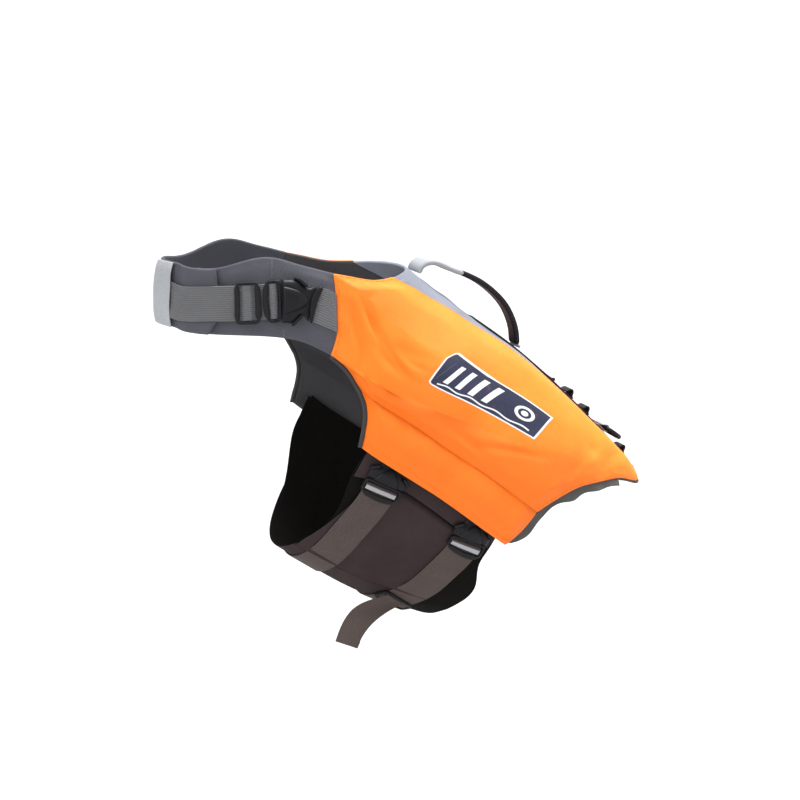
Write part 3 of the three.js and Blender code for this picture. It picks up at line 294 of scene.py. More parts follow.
class Value:
    """A shader socket with arithmetic: an expression on it adds its own Math nodes."""

    def __init__(self, tree, socket):
        self.tree, self.socket = tree, socket

    def math(self, operation, *values, swap=False):
        values = (*values, self) if swap else (self, *values)
        return self.tree.node("ShaderNodeMath", {"operation": operation}, dict(enumerate(values)))

    def __add__(self, other): return self.math("ADD", other)
    def __radd__(self, other): return self.math("ADD", other)
    def __sub__(self, other): return self.math("SUBTRACT", other)
    def __rsub__(self, other): return self.math("SUBTRACT", other, swap=True)
    def __mul__(self, other): return self.math("MULTIPLY", other)
    def __rmul__(self, other): return self.math("MULTIPLY", other)
    def __truediv__(self, other): return self.math("DIVIDE", other)
    def __pow__(self, other): return self.math("POWER", other)
    def __abs__(self): return self.math("ABSOLUTE")
    def wave(self, length): return (self * (2 * math.pi / length)).math("SINE")
    def limit(self): return self.tree.node("ShaderNodeClamp", {}, {"Value": self})


class Finish:
    """A material under construction, with one method for every node."""

    def __init__(self, name, roughness, specular=0.25):
        self.material = bpy.data.materials.new(name)
        self.material.use_nodes = True
        self.nodes, self.links = self.material.node_tree.nodes, self.material.node_tree.links
        self.skin = self.nodes["Principled BSDF"]
        self.skin.inputs["Roughness"].default_value = roughness
        self.skin.inputs["Specular IOR Level"].default_value = specular

    def node(self, kind, settings, inputs, output=0):
        made = self.nodes.new(kind)
        for key, value in settings.items():
            setattr(made, key, value)
        for key, value in inputs.items():
            if isinstance(value, Value):
                self.links.new(value.socket, made.inputs[key])
            else:
                made.inputs[key].default_value = value
        return Value(self, made.outputs[output])

    def cut(self):
        """The two flat-cloth coordinates, in mm."""
        flat = self.node("ShaderNodeUVMap", {"uv_map": "cut"}, {})
        parts = self.node("ShaderNodeSeparateXYZ", {}, {0: flat})
        return parts * 1000.0, Value(self, parts.socket.node.outputs[1]) * 1000.0

    def noise(self, scale, detail=3.0):
        where = self.node("ShaderNodeTexCoord", {}, {}, "Object")
        return self.node("ShaderNodeTexNoise", {}, {"Vector": where, "Scale": scale, "Detail": detail})

    def mix(self, share, first, second):
        """A colour between two, by the Mix node's share and its two colour inputs."""
        inputs = {0: share}
        for key, value in ((6, first), (7, second)):
            inputs[key] = value if isinstance(value, Value) else (*value, 1.0)
        return self.node("ShaderNodeMix", {"data_type": "RGBA"}, inputs, 2)

    def colour(self, value):
        self.links.new(value.socket, self.skin.inputs["Base Color"])

    def roughness(self, value):
        self.links.new(value.socket, self.skin.inputs["Roughness"])

    def bump(self, height, distance):
        """Relief: height is 0..1 and distance its full depth in metres."""
        made = self.node("ShaderNodeBump", {}, {"Height": height, "Distance": distance, "Strength": 1.0})
        self.links.new(made.socket, self.skin.inputs["Normal"])


def put(piece, material, slot, *nodes, body="jacket"):
    """Gives a piece its material, the body that it rides on and what it replaces. The slot is not used."""
    piece.data.materials.append(material)
    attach(piece, body)
    if nodes:
        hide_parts(*nodes)


def woven(finish, pitch):
    """Plain weave: two crossed sets of threads, each over where the other is under."""
    along, across = finish.cut()
    return along.wave(pitch) * across.wave(pitch) * 0.5 + 0.5


def within(value, low, high, soft=0.25):
    """1 where the value lies between two limits, with edges as soft as given."""
    rise = ((value - low) / soft + 0.5).limit()
    return rise * ((high - value) / soft + 0.5).limit()


orange = Finish("orange_nylon", 0.6, 0.3)
along, across = orange.cut()
threads = woven(orange, 1.3)
blotch = orange.noise(14.0, 4.0)
fine = orange.noise(160.0, 2.0)
# Painted light: the cloth's tone is lighter towards the spine edge and darker towards the lower edge, as light
# from above would fall on it.
painted_top_light = (60.0 - across) / 200.0
tone = orange.mix((blotch - 0.5) * 1.6 + 0.5 + painted_top_light, (0.95, 0.185, 0.007), (1.0, 0.262, 0.015))
cloth_tone = orange.mix(threads * 0.10 + fine * 0.10, tone, (0.62, 0.09, 0.005))

# A printed badge: a navy panel with a pale border, slanting bars, a wavy line and two rings.
PRINT_FROM, PRINT_TO, PRINT_TALL = (127.0, 67.0), (246.0, 80.0), 54.0
PRINT_CORNER, PRINT_BORDER, PRINT_NARROWING, PRINT_SLANT = 5.0, 1.8, 6.0, 0.45
PRINT_PALE, PRINT_NAVY = (0.72, 0.73, 0.78), (0.017, 0.020, 0.050)
BAR_PITCH, RINGS_FROM_END, UNBOUND = 15.0, 21.0, -9.0
print_turn = math.atan2(PRINT_TO[1] - PRINT_FROM[1], PRINT_TO[0] - PRINT_FROM[0])
print_long = math.hypot(PRINT_TO[0] - PRINT_FROM[0], PRINT_TO[1] - PRINT_FROM[1])
from_left, from_top = along - PRINT_FROM[0], across - PRINT_FROM[1]
py = from_top * math.cos(print_turn) - from_left * math.sin(print_turn)
px = from_left * math.cos(print_turn) + from_top * math.sin(print_turn)
px = px + py * PRINT_SLANT * (1.0 - px / print_long)
half = PRINT_TALL / 2 - px * (PRINT_NARROWING / print_long)
past_left = (px - PRINT_CORNER).math("MINIMUM", 0.0)
past_tall = (abs(py) - half + PRINT_CORNER).math("MAXIMUM", 0.0)
corner = (past_left ** 2.0 + past_tall ** 2.0) ** 0.5


def badge_area(inset):
    """1 on the badge, which is drawn in by the inset all round."""
    upright = within(px, inset, print_long - inset) * within(abs(py), UNBOUND, half - inset)
    return upright * within(corner, -1.0, PRINT_CORNER - inset)


slanted = (px + py * 0.3) / BAR_PITCH
bars = within(slanted.math("FRACT"), 0.2, 0.62, 0.02) * within(slanted, 0.62, 5.0, 0.02)
bars = bars * within(py, 8.0 - half, half - 11.0)
ripple = py - (px / 4.4).math("SINE") * 1.2
wave_line = within(ripple, half - 7.6, half - 5.6) * within(px, 9.0, print_long - 9.0)
disc_x, disc_y = px - (print_long - RINGS_FROM_END), py + 2.0
disc = (disc_x * disc_x + disc_y * disc_y) ** 0.5
rings = within(disc, -1.0, 3.4) + within(disc, 6.2, 9.4)
ink = orange.mix((bars + wave_line + rings).limit(), PRINT_NAVY, PRINT_PALE)
ink = orange.mix(badge_area(PRINT_BORDER), PRINT_PALE, ink)
scuffed = (orange.noise(90.0) - 0.62).math("MULTIPLY", 4.0).limit() * 0.12
printed = orange.mix(badge_area(0.0) * (1.0 - scuffed), cloth_tone, ink)
lining = orange.mix(threads * 0.3 + blotch * 0.5, (0.040, 0.038, 0.042), (0.075, 0.072, 0.078))
orange.colour(orange.mix(along.math("LESS_THAN", -5.0), printed, lining))
orange.roughness(0.52 + fine * 0.16)
creases, long_folds = orange.noise(26.0), orange.noise(7.0, 2.0)
orange.bump(threads * 0.08 + fine * 0.12 + creases * 0.5 + long_folds * 0.9, 0.0032)

# Seam lines of the left panel, as (ring, angle) places on the chest.
NECK_EDGE = [(0.45, 44.5), (0.47, 59), (0.33, 70), (0.23, 78.7)]
COLLAR_SEAM = [(0.23, 78.7), (0.61, 80), (1.04, 81.6), (1.42, 83), (1.66, 84.4), (1.935, 88.9)]
ARMHOLE_UPPER = [(1.935, 88.9), (2.2, 85.9), (2.39, 85.5), (2.577, 85.7)]
ARMHOLE_LOWER = [(2.577, 85.7), (2.77, 87.3), (2.93, 90.3), (3.08, 94.9), (3.187, 98.8)]
PANEL_BOTTOM = [(3.187, 98.8), (3.65, 97.8), (4.24, 97.7), (5.02, 98.7), (5.844, 101.8)]
CHANNEL = [(2.577, 85.7), (3.41, 81.3), (4.17, 81.2), (5.2, 82), (6.09, 84.6)]
SPINE_SEAM = [
    (0.45, 44.5), (0.73, 40), (1.1, 34.5), (1.8, 28), (2.63, 22.5), (3.6, 19), (4.6, 16), (6, 14), (7.9, 14),
]
HEM_UPPER = [
    (7.9, 14), (7.93, 28.7), (7.53, 40.7), (7.1, 52.3), (6.84, 59), (6.63, 64.3), (6.41, 71.5),
    (6.22, 78.8), (6.09, 84.6),
]
HEM_LOWER = [(6.09, 84.6), (5.97, 95), (5.844, 101.8)]

LINING_LIFT = 0.3
PANEL_LENGTH, UPPER_HEIGHT, LOWER_HEIGHT = 330.0, 165.0, 34.0
PANEL_HEIGHT = UPPER_HEIGHT + LOWER_HEIGHT
FOAM, EDGE_CLOTH, FOAM_EASE, PANEL_ROLL = 12.0, 5.0, 26.0, 3.5
FLARE, BUCKLE_BUMP, BUMP_RINGS = 5.0, 7.0, 0.75
BUCKLE_RINGS = (3.83, 5.39)

# Dimples in mm: place along and down the panel, depth, half width, half length, and the
# direction of their length in degrees.
DIMPLES = [
    (24, 84, 4.4, 9, 22, 60), (44, 68, 4.2, 7, 18, 35), (66, 94, 3.6, 8, 20, 10),
    (88, 74, 2.2, 8, 24, -20), (304, 34, 2.8, 9, 26, 80), (312, 70, 3.4, 8, 22, 70),
    (284, 52, 2.2, 9, 28, 62), (300, 104, 2.8, 8, 26, 58), (196, 146, 1.8, 6, 34, 12),
    (120, 40, 0.9, 12, 44, 20), (232, 128, 1.6, 6, 36, -24), (50, 76, 1.7, 4, 12, 55),
    (76, 88, 1.8, 4, 13, 32), (30, 104, 1.7, 4, 13, 75), (100, 80, 1.5, 4, 12, -8),
    (58, 118, 1.4, 4, 13, 24), (38, 52, 1.2, 4, 13, 42), (292, 60, 1.5, 4, 12, 72),
    (308, 92, 1.5, 4, 12, 66),
]

upper_chamber = patch(
    chain([edge(NECK_EDGE), moved(edge(COLLAR_SEAM), -0.9), edge(ARMHOLE_UPPER)], [4 / 13, 9 / 13]),
    edge(HEM_UPPER), moved(edge(SPINE_SEAM), -0.2), edge(CHANNEL),
)
lower_chamber = patch(edge(ARMHOLE_LOWER), edge(HEM_LOWER), edge(CHANNEL), edge(PANEL_BOTTOM))


def panel_chart(u, v):
    """The upper chamber for v in 0..1 and the lower one for v in 1..2."""
    low = lower_chamber(u, np.clip(v - 1, 0, 1))
    return np.where((v > 1)[..., None], low, upper_chamber(u, np.clip(v, 0, 1)))


def panel_low(u, v):
    """The lining: close to the chest above the channel, flared below it and further out over
    each buckle."""
    below = np.clip(v - 1, 0, 1)
    ring = lower_chamber(u, below)[..., 0]
    bumps = np.max([np.exp(-(((ring - at) / BUMP_RINGS) ** 2)) for at in BUCKLE_RINGS], axis=0)
    return LINING_LIFT + (FLARE + BUCKLE_BUMP * bumps - LINING_LIFT) * below


def panel_high(u, v):
    """The outer cloth: the foam's crown between the stitched lines, the folds that the
    stitches draw in, and the soft dimples of the shoulder and the hem."""
    lower = v > 1
    share = np.where(lower, v - 1, v)
    x = u * PANEL_LENGTH
    y = np.where(lower, UPPER_HEIGHT + share * LOWER_HEIGHT, share * UPPER_HEIGHT)
    from_channel = np.abs(y - UPPER_HEIGHT)
    full = smooth(near_ends(u, PANEL_LENGTH) / FOAM_EASE) * smooth(y / FOAM_EASE)
    full = full * smooth((PANEL_HEIGHT - y) / 14) * (0.62 + 0.38 * smooth(from_channel / 16))
    groove = 1.5 * np.exp(-((from_channel / 1.5) ** 2))
    folds = pucker(x, from_channel, 0.3, 41, 9, 0.4) + pucker(x, y, 0.45, 37, 14, 1.3)
    folds = folds + pucker(y, x, 0.7, 29, 17, 0.2) * smooth(y / 20)
    folds = folds + pucker(y, x - PANEL_LENGTH, 0.7, 33, 13, 2.1) * smooth((150 - y) / 30)
    swell = waves(x, y, [(0.9, 128, 28, 0.3), (0.6, 83, -35, 1.9), (0.3, 52, 62, 0.8)])
    dimple = 0
    for at_x, at_y, deep, wide, long, direction in DIMPLES:
        c, s = math.cos(math.radians(direction)), math.sin(math.radians(direction))
        a, b = (x - at_x) * c + (y - at_y) * s, -(x - at_x) * s + (y - at_y) * c
        dimple = dimple + deep * np.exp(-((a / long) ** 2) - ((b / wide) ** 2))
    relief = (folds + swell - dimple) * (0.25 + 0.75 * full) - groove
    return panel_low(u, v) + EDGE_CLOTH + (FOAM - EDGE_CLOTH) * full + relief


def panel_row(share):
    """Row of the two chambers for a share of the whole panel's height."""
    y = share * PANEL_HEIGHT
    return np.where(y > UPPER_HEIGHT, 1 + (y - UPPER_HEIGHT) / LOWER_HEIGHT, y / UPPER_HEIGHT)


def panel_place(side):
    """Point of a side panel for a share of its height, on the left for side 1."""

    def place(u, share, height):
        chart = panel_chart(u, panel_row(share))
        return lifted(chart[..., 0], side * chart[..., 1], height)

    return place


def by_share(function):
    """A height that takes the share of the panel's height in place of its row."""
    return lambda u, share: function(u, panel_row(share))


upper_rows = [stations(UPPER_HEIGHT, 4, 78)[:-5], np.linspace(1 - 4 / UPPER_HEIGHT, 1, 9)[1:]]
lower_rows = [np.linspace(0, 0.12, 6)[1:], np.linspace(0.12, 1, 22)[1:-3], [0.9, 0.94, 0.97, 0.99, 1]]
panel_shares = np.concatenate([
    np.concatenate(upper_rows) * UPPER_HEIGHT, UPPER_HEIGHT + np.concatenate(lower_rows) * LOWER_HEIGHT,
]) / PANEL_HEIGHT

for name, side in SIDES:
    panel, _ = shell(
        f"panel_{name}", panel_place(side), stations(PANEL_LENGTH, 4, 190), panel_shares,
        by_share(panel_low), by_share(panel_high), (PANEL_LENGTH, PANEL_HEIGHT), PANEL_ROLL,
    )
    put(panel, orange.material, "orange_nylon", f"side_panel_{name}")

# Rows of thread stitches, each a small spindle half sunk in the cloth.
STITCH = 0.8


def stitches(name, place, starts, ends, heights, material, slot):
    """Spindles from start to end: a ring of points round each at five stations, whose radius
    is about that of an ellipse; all rows are one mesh."""
    a, b = place(*starts, heights), place(*ends, heights)
    way = unit(b - a)
    side = unit(np.cross(way, place(*starts, heights + 1) - a))
    up = np.cross(side, way)
    share = np.array([0.0, 0.18, 0.5, 0.82, 1.0])[None, :, None, None]
    radius = STITCH / 2 * np.array([0.15, 0.8, 1.0, 0.8, 0.15])[None, :, None, None]
    turn = np.linspace(0, 2 * math.pi, 6, endpoint=False)[None, None, :, None]
    around = up[:, None, None] * np.cos(turn) + side[:, None, None] * np.sin(turn)
    points = a[:, None, None] + (b - a)[:, None, None] * share + around * radius
    grid = np.arange(5 * 6).reshape(5, 6)
    grid = np.concatenate([grid, grid[:, :1]], axis=1)
    caps = np.array([[0, 1, 2, 3], [0, 3, 4, 5], [27, 26, 25, 24], [29, 28, 27, 24]])
    one = np.concatenate([quads_of(grid), caps])[:, ::-1]
    every = (one[None] + grid[:, :-1].size * np.arange(len(a))[:, None, None]).reshape(-1, 4)
    piece = mesh_piece(name, points.reshape(-1, 3), every, np.zeros((len(every), 4, 2)))
    put(piece, material, slot)


def seam_row(count):
    """Start and end shares of the stitches in a row of the given count."""
    starts = (np.arange(count) + 0.2) / count
    return starts, starts + 0.62 / count


def stitch_rows(name, place, high, rows, material, slot):
    """Rows of stitches over a piece: each row runs along (u) or across (v) the piece at a
    share of its other way, with a count of stitches; high gives the cloth's height."""
    starts, ends = [], []
    for way, at, count in rows:
        for found, shares in zip((starts, ends), seam_row(count)):
            keep = 0 * shares + at
            found.append((shares, keep) if way == "u" else (keep, shares))
    starts, ends = np.concatenate(starts, axis=1), np.concatenate(ends, axis=1)
    stitches(name, place, starts, ends, high(*starts), material, slot)


def thread_finish(name, dark, light, roughness=0.55, detail=3.0):
    """Sewing thread: two close tones mixed by a fine noise."""
    made = Finish(name, roughness)
    made.colour(made.mix(made.noise(900.0, detail), dark, light))
    return made.material


def panel_skin(u, share):
    """Height of the panel's outer cloth, which closes on its middle at the edges."""
    high, low = by_share(panel_high)(u, share), by_share(panel_low)(u, share)
    close = rounding(u, PANEL_LENGTH, PANEL_ROLL) * rounding(share, PANEL_HEIGHT, PANEL_ROLL)
    return (high + low) / 2 + (high - low) / 2 * close + 0.05


thread_dark = thread_finish("thread_dark_orange", (0.26, 0.045, 0.006), (0.40, 0.075, 0.010), detail=2.0)
thread_orange = thread_finish("thread_orange", (0.70, 0.10, 0.008), (0.92, 0.17, 0.016), detail=2.0)
CHANNEL_ROWS = [("u", UPPER_HEIGHT / PANEL_HEIGHT, 110)]
EDGE_ROWS = [
    ("u", 3.2 / PANEL_HEIGHT, 88), ("u", 1 - 4.0 / PANEL_HEIGHT, 84),
    ("v", 3.6 / PANEL_LENGTH, 44), ("v", 1 - 4.5 / PANEL_LENGTH, 50),
]
for name, side in SIDES:
    for seam, rows, thread in (("channel", CHANNEL_ROWS, thread_dark), ("edge", EDGE_ROWS, thread_orange)):
        stitch_rows(f"{seam}_stitches_{name}", panel_place(side), panel_skin, rows, thread, "orange_nylon")


def tape_finish(name, roughness, specular, pitch, ribbed, dirty, dark, light):
    """Tape with fine ribs across it; the lighter tone grows by the ribs' and dirt's shares."""
    made = Finish(name, roughness, specular)
    rib = made.cut()[0].wave(pitch) * 0.5 + 0.5
    made.colour(made.mix(rib * ribbed + made.noise(60.0) * dirty, dark, light))
    made.bump(rib * 0.6 + made.noise(120.0) * 0.3, 0.0004)
    return made.material


# Bindings: a dark ribbed tape folded round each armhole's raw edge.
ARMHOLE_LENGTH, TAPE_WIDTH, TAPE_REACH = 95.0, 3.6, 4.7
armhole = chain([edge(ARMHOLE_UPPER), edge(ARMHOLE_LOWER)], [0.5])
tape = tape_finish("dark_tape", 0.8, 0.25, 1.1, 0.35, 0.4, (0.030, 0.027, 0.028), (0.062, 0.055, 0.055))


def tape_low(u, v):
    return panel_low(0 * u, 2 * u) - 0.2


def tape_high(u, v):
    uneven = 0.25 * waves(u * ARMHOLE_LENGTH, 0, [(1, 14, 0, 0.4)])
    return panel_low(0 * u, 2 * u) + EDGE_CLOTH + 0.6 * np.sin(math.pi * v) + uneven


for name, side in SIDES:

    def on_armhole(u, v, height):
        chart = beside(armhole, u, 0.7 - v * TAPE_REACH)
        return lifted(chart[..., 0], side * chart[..., 1], height)

    binding, _ = shell(
        f"armhole_tape_{name}", on_armhole, stations(ARMHOLE_LENGTH, 2, 90), stations(TAPE_WIDTH, 1.7, 5),
        tape_low, tape_high, (ARMHOLE_LENGTH, TAPE_WIDTH), 1.7,
    )
    put(binding, tape, "binding", f"armhole_binding_{name}")


# Rear facings. The grey lining shows as a strip past the rear hem, turned under and a little
# rippled, with a folded tab across the tail.
FACING_START = 0.8 * 5 / 13  # share of the hem at which the side facings begin
FACING_LENGTH, FACING_WIDTH, FACING_TOP = 175.0, 14.0, 2.4
TAIL_LENGTH, TAIL_WIDTH, TAIL_RINGS = 150, 4.6, 0.083
hem_line = chain([edge(HEM_UPPER), edge(HEM_LOWER)], [0.8])
facing_line = edge([
    (7.45, 48.2), (7.21, 54.2), (7.02, 60.1), (6.75, 66.2), (6.62, 71.6), (6.39, 76.4),
    (6.23, 84.4), (6.2, 89.6), (6.13, 96.8), (5.97, 101.6),
])
facing_grey = tape_finish(
    "facing_grey", 0.85, 0.1, 1.3, 0.25, 0.6, (0.055, 0.055, 0.054), (0.135, 0.135, 0.132),
)


def cut_size(outer):
    """Flat width, length and area in metres of a cloth, from its outer skin's points."""
    across = np.linalg.norm(np.diff(outer, axis=1), axis=-1).sum(1).max() / 1000
    along = np.linalg.norm(np.diff(outer, axis=0), axis=-1).sum(0).max() / 1000
    p = outer / 1000
    first = np.cross(p[1:, :-1] - p[:-1, :-1], p[1:, 1:] - p[:-1, :-1])
    second = np.cross(p[1:, 1:] - p[:-1, :-1], p[:-1, 1:] - p[:-1, :-1])
    area = (np.linalg.norm(first, axis=-1).sum() + np.linalg.norm(second, axis=-1).sum()) / 2
    return (along, across), min(float(area), along * across)


def cloth(piece, outer):
    """Works out a piece's flat cut size and area from its outer skin, and does nothing further with them; the
    piece is not used.
    """
    flat, area = cut_size(outer)


def facing_high(u, v):
    return FACING_TOP + v * waves(u * FACING_LENGTH, v * 6, [(0.9, 38, 10, 0.5), (0.5, 21, -8, 1.4)])


for name, side in SIDES:

    def on_facing(u, v, height):
        s = FACING_START + u * (1 - FACING_START)
        chart = blend(beside(hem_line, s, 0 * s - 1.6), facing_line(u), v)
        return lifted(chart[..., 0], side * chart[..., 1], height)

    facing, outer = shell(
        f"hem_facing_{name}", on_facing, stations(FACING_LENGTH, 2, 110), stations(FACING_WIDTH, 1.2, 12),
        LINING_LIFT, facing_high, (FACING_LENGTH, FACING_WIDTH), 1.1,
    )
    put(facing, facing_grey, "binding", f"rear_facing_{name}")
    cloth(facing, outer)


def on_tail(u, v, height):
    s = (2 * u - 1) * FACING_START
    chart = hem_line(np.abs(s))
    return lifted(chart[..., 0] - 0.025 + v * TAIL_RINGS, np.sign(s) * chart[..., 1], height)


def tail_high(u, v):
    return FACING_TOP + 0.4 * v * waves(u * TAIL_LENGTH, 0, [(1, 33, 0, 0.9)])


tail_facing, _ = shell(
    "tail_facing_cloth", on_tail, stations(TAIL_LENGTH, 2, 90), stations(TAIL_WIDTH, 1.2, 6),
    LINING_LIFT, tail_high, (TAIL_LENGTH, TAIL_WIDTH), 1.1,
)
put(tail_facing, facing_grey, "binding", "tail_facing")


# Spine panel. The grey top panel of thinner woven cloth over a thin foam, between the two
# spine seams.
SPINE_TOP, SPINE_LENGTH, SPINE_WIDTH = 3.7, 430.0, 90.0
spine_seam = moved(edge(SPINE_SEAM), -1.2)


def mirrored(line):
    """The same line on the other side of the spine."""
    return lambda s: line(s) * (1, -1)


def between(start, end):
    """A straight way over the chart from one place to another."""
    start, end = np.asarray(start, float), np.asarray(end, float)
    return lambda s: start + (end - start) * np.asarray(s, float)[..., None]


def on_chart(chart, side=1):
    """A place function for cloth that lies on the chest by a chart of its own."""

    def place(u, v, height):
        at = chart(u, v)
        return lifted(at[..., 0], side * at[..., 1], height)

    return place


def spine_high(u, v):
    x, y = u * SPINE_LENGTH, (v - 0.5) * SPINE_WIDTH
    folds = pucker(x, near_ends(v, SPINE_WIDTH), 0.35, 17, 7, 0.7)
    return SPINE_TOP + folds + waves(x, y, [(0.25, 64, 12, 0.2)])


nape = edge([(0.45, 44.5), (0.26, 22), (0.2, 0), (0.26, -22), (0.45, -44.5)])
spine_tail = between(spine_seam(1.0), mirrored(spine_seam)(1.0))
spine_chart = patch(nape, spine_tail, spine_seam, mirrored(spine_seam))
spine = Finish("spine_grey", 0.68)
threads = woven(spine, 1.1)
spine.colour(spine.mix(threads * 0.3 + spine.noise(30.0) * 0.5, (0.22, 0.236, 0.290), (0.32, 0.342, 0.405)))
spine.bump(threads * 0.35 + spine.noise(18.0) * 0.8, 0.0012)
spine_cloth, outer = shell(
    "spine_cloth", on_chart(spine_chart), stations(SPINE_LENGTH, 2, 190), stations(SPINE_WIDTH, 2, 40),
    LINING_LIFT, spine_high, (SPINE_LENGTH, SPINE_WIDTH), 1.8,
)
put(spine_cloth, spine.material, "spine_cloth", "spine_panel")
cloth(spine_cloth, outer)


# Collar. Two padded neck pieces in charcoal spacer mesh. The right one comes round the throat
# and laps over the left one's end.
COLLAR_TOP_LINE = cubic(
    [78.7, 88, 94.2, 102.7, 108.2, 121.5, 133.9, 158, 180],
    [0.23, 0.112, 0.051, -0.033, -0.035, 0.118, 0.263, 0.268, 0.262],
)
COLLAR_LOW_LINE = cubic(
    [88.9, 94.7, 98.4, 105, 119.2, 133.6, 150, 164, 180],
    [1.935, 1.697, 1.587, 1.467, 1.341, 1.277, 1.22, 1.165, 1.15],
)
COLLAR_HEIGHT, COLLAR_PAD, COLLAR_EDGE, COLLAR_EASE = 75.0, 6.0, 4.0, 14.0
COLLAR_TOP_START, COLLAR_LOW_START, LEFT_END = 78.7, 88.9, 146
FLAP_END = [(0.262, 133.4), (0.7, 132.8), (1.1, 133.3), (1.3, 137.7)]
LAY_GAP = 0.4  # between webbing, pads and buckles that lie on one another


def fold(angle):
    """An angle on the right side as its twin on the left."""
    return np.where(angle > 180, 360 - angle, angle)


def round_collar(line, start, end):
    """A collar edge from one angle to another."""

    def at(u):
        angle = start + (end - start) * np.asarray(u, float)
        return np.stack([line(fold(angle))[..., 0], angle], -1)

    return at


def collar_height(u, v, length, puff):
    """The padding's crown: thinner along the stitched edges, with small folds at them and the
    gentle hollows of a pad that bends round the neck. With a puff in mm, the far end is free:
    it keeps its full thickness and swells by the puff."""
    x, y = u * length, v * COLLAR_HEIGHT
    from_end = u * length if puff else near_ends(u, length)
    from_edge = near_ends(v, COLLAR_HEIGHT)
    full = smooth(from_end / COLLAR_EASE) * smooth(from_edge / COLLAR_EASE)
    folds = pucker(x, from_edge, 0.2, 41, 9, 0.9) + pucker(y, x, 0.35, 27, 12, 0.3)
    swell = 0.3 * full * waves(x, y, [(1, 47, 70, 0.2), (0.7, 83, 10, 1.0)])
    free = smooth(1 - (length - x) / 26) * smooth((np.abs(y - COLLAR_HEIGHT / 2) - 19) / 12)
    return COLLAR_EDGE + (COLLAR_PAD - COLLAR_EDGE) * full + folds + swell - 0.3 * full + puff * free


def collar_pad(name, chart, length, count, low, puff):
    """One padded neck piece over its chart."""
    pad, _ = shell(
        f"neck_pad_{name}", on_chart(chart), stations(length, 3, count), stations(COLLAR_HEIGHT, 3, 50),
        low, lambda u, v: low(u, v) + collar_height(u, v, length, puff), (length, COLLAR_HEIGHT), 2.6,
    )
    put(pad, padding.material, "collar_mesh", f"collar_{name}")


padding = Finish("collar_charcoal", 0.72)
along, across = padding.cut()
holes = ((along + across).wave(2.6) * (along - across).wave(2.6)).limit()
grey = holes * 0.45 + padding.noise(40.0) * 0.25
padding.colour(padding.mix(grey, (0.085, 0.085, 0.105), (0.045, 0.045, 0.058)))
padding.bump((1.0 - holes) * 0.35 + padding.noise(30.0) * 0.7, 0.0013)

left_chart = patch(
    edge(COLLAR_SEAM), lambda s: np.zeros(np.shape(s) + (2,)),
    round_collar(COLLAR_TOP_LINE, COLLAR_TOP_START, LEFT_END),
    round_collar(COLLAR_LOW_LINE, COLLAR_LOW_START, LEFT_END),
)
right_chart = patch(
    mirrored(edge(COLLAR_SEAM)), edge(FLAP_END),
    round_collar(COLLAR_TOP_LINE, 360 - COLLAR_TOP_START, FLAP_END[0][1]),
    round_collar(COLLAR_LOW_LINE, 360 - COLLAR_LOW_START, FLAP_END[-1][1]),
)


def right_low(u, v):
    """The right pad climbs over the left one where they lap."""
    angle = right_chart(u, v)[..., 1]
    return LINING_LIFT + (COLLAR_PAD + 2 * LAY_GAP) * smooth((161 - angle) / 12)


collar_pad("left", left_chart, 150.0, 90, lambda u, v: LINING_LIFT + 0 * u, 0.0)
collar_pad("right", right_chart, 330.0, 180, right_low, 3.0)

# Two short rows of thread hold the left pad's layers together; each has a count of stitches, a
# first place and a last place.
thread_grey = thread_finish("thread_grey", (0.16, 0.16, 0.18), (0.26, 0.26, 0.28), roughness=0.6)
NECK_ROWS = ((9, (0.0, 106.3), (0.38, 107.8)), (3, (1.33, 105.1), (1.44, 105.4)))
row_starts, row_ends = (
    np.concatenate([between(first, last)(seam_row(count)[k]) for count, first, last in NECK_ROWS]).T
    for k in (0, 1)
)
row_lift = np.full(row_starts.shape[1], LINING_LIFT + COLLAR_PAD + 0.15)
stitches("neck_stitches", lifted, row_starts, row_ends, row_lift, thread_grey, "collar_mesh")


# Neck strap. Grey ribbed 38 mm webbing, sewn into the left collar seam, with a moulded
# side-release buckle and a slider, and held at the throat by a light webbing loop.
WEBBING, WEBBING_WIDTH, WEBBING_ROLL = 1.5, 38.0, 0.7
COLLAR_LIFT = 6.3


class Way:
    """A strap's way over the chest: x is the length along it in mm from its first place, y the
    distance to the side, and height the lift."""

    def __init__(self, table, lift, count=401):
        self.line = edge(table)
        self.shares = np.linspace(0, 1, count)
        self.chart = self.line(self.shares)
        self.lengths = lengths_to(lifted(self.chart[:, 0], self.chart[:, 1], np.full(count, lift)))
        self.length = self.lengths[-1]

    def share(self, x):
        """The line's share at a length; past its ends it goes on at the last step's rate."""
        start = (self.shares[1] / self.lengths[1]) * x
        last = self.lengths[-1] - self.lengths[-2]
        end = 1 + (x - self.length) * (self.shares[1] / last)
        inside = np.interp(x, self.lengths, self.shares)
        return np.where(x < 0, start, np.where(x > self.length, end, inside))

    def place(self, x, y, height):
        chart = beside(self.line, self.share(x), y)
        return lifted(chart[..., 0], chart[..., 1], height)

    def angle(self, x):
        return self.line(self.share(x))[..., 1]

    def along(self, column, value):
        """The length at which the ring (column 0) or the angle (column 1) has a value."""
        values = self.chart[:, column]
        order = np.argsort(values)
        return float(np.interp(value, values[order], self.lengths[order]))


def webbing_finish(name, dark, light, pitch=2.3, roughness=0.72):
    """Ribbed webbing: ribs along its length, crossed by fine weft, and worn in patches."""
    made = Finish(name, roughness)
    along, across = made.cut()
    ribs = across.wave(pitch) * 0.5 + 0.5
    weft = (along + ribs * 0.4).wave(1.4) * 0.5 + 0.5
    worn = made.noise(45.0, 4.0)
    made.colour(made.mix(ribs * 0.45 + weft * 0.15 + worn * 0.5 - 0.05, dark, light))
    made.roughness(roughness - 0.08 + worn * 0.16)
    made.bump(ribs * 0.75 + weft * 0.25, 0.0005)
    return made.material


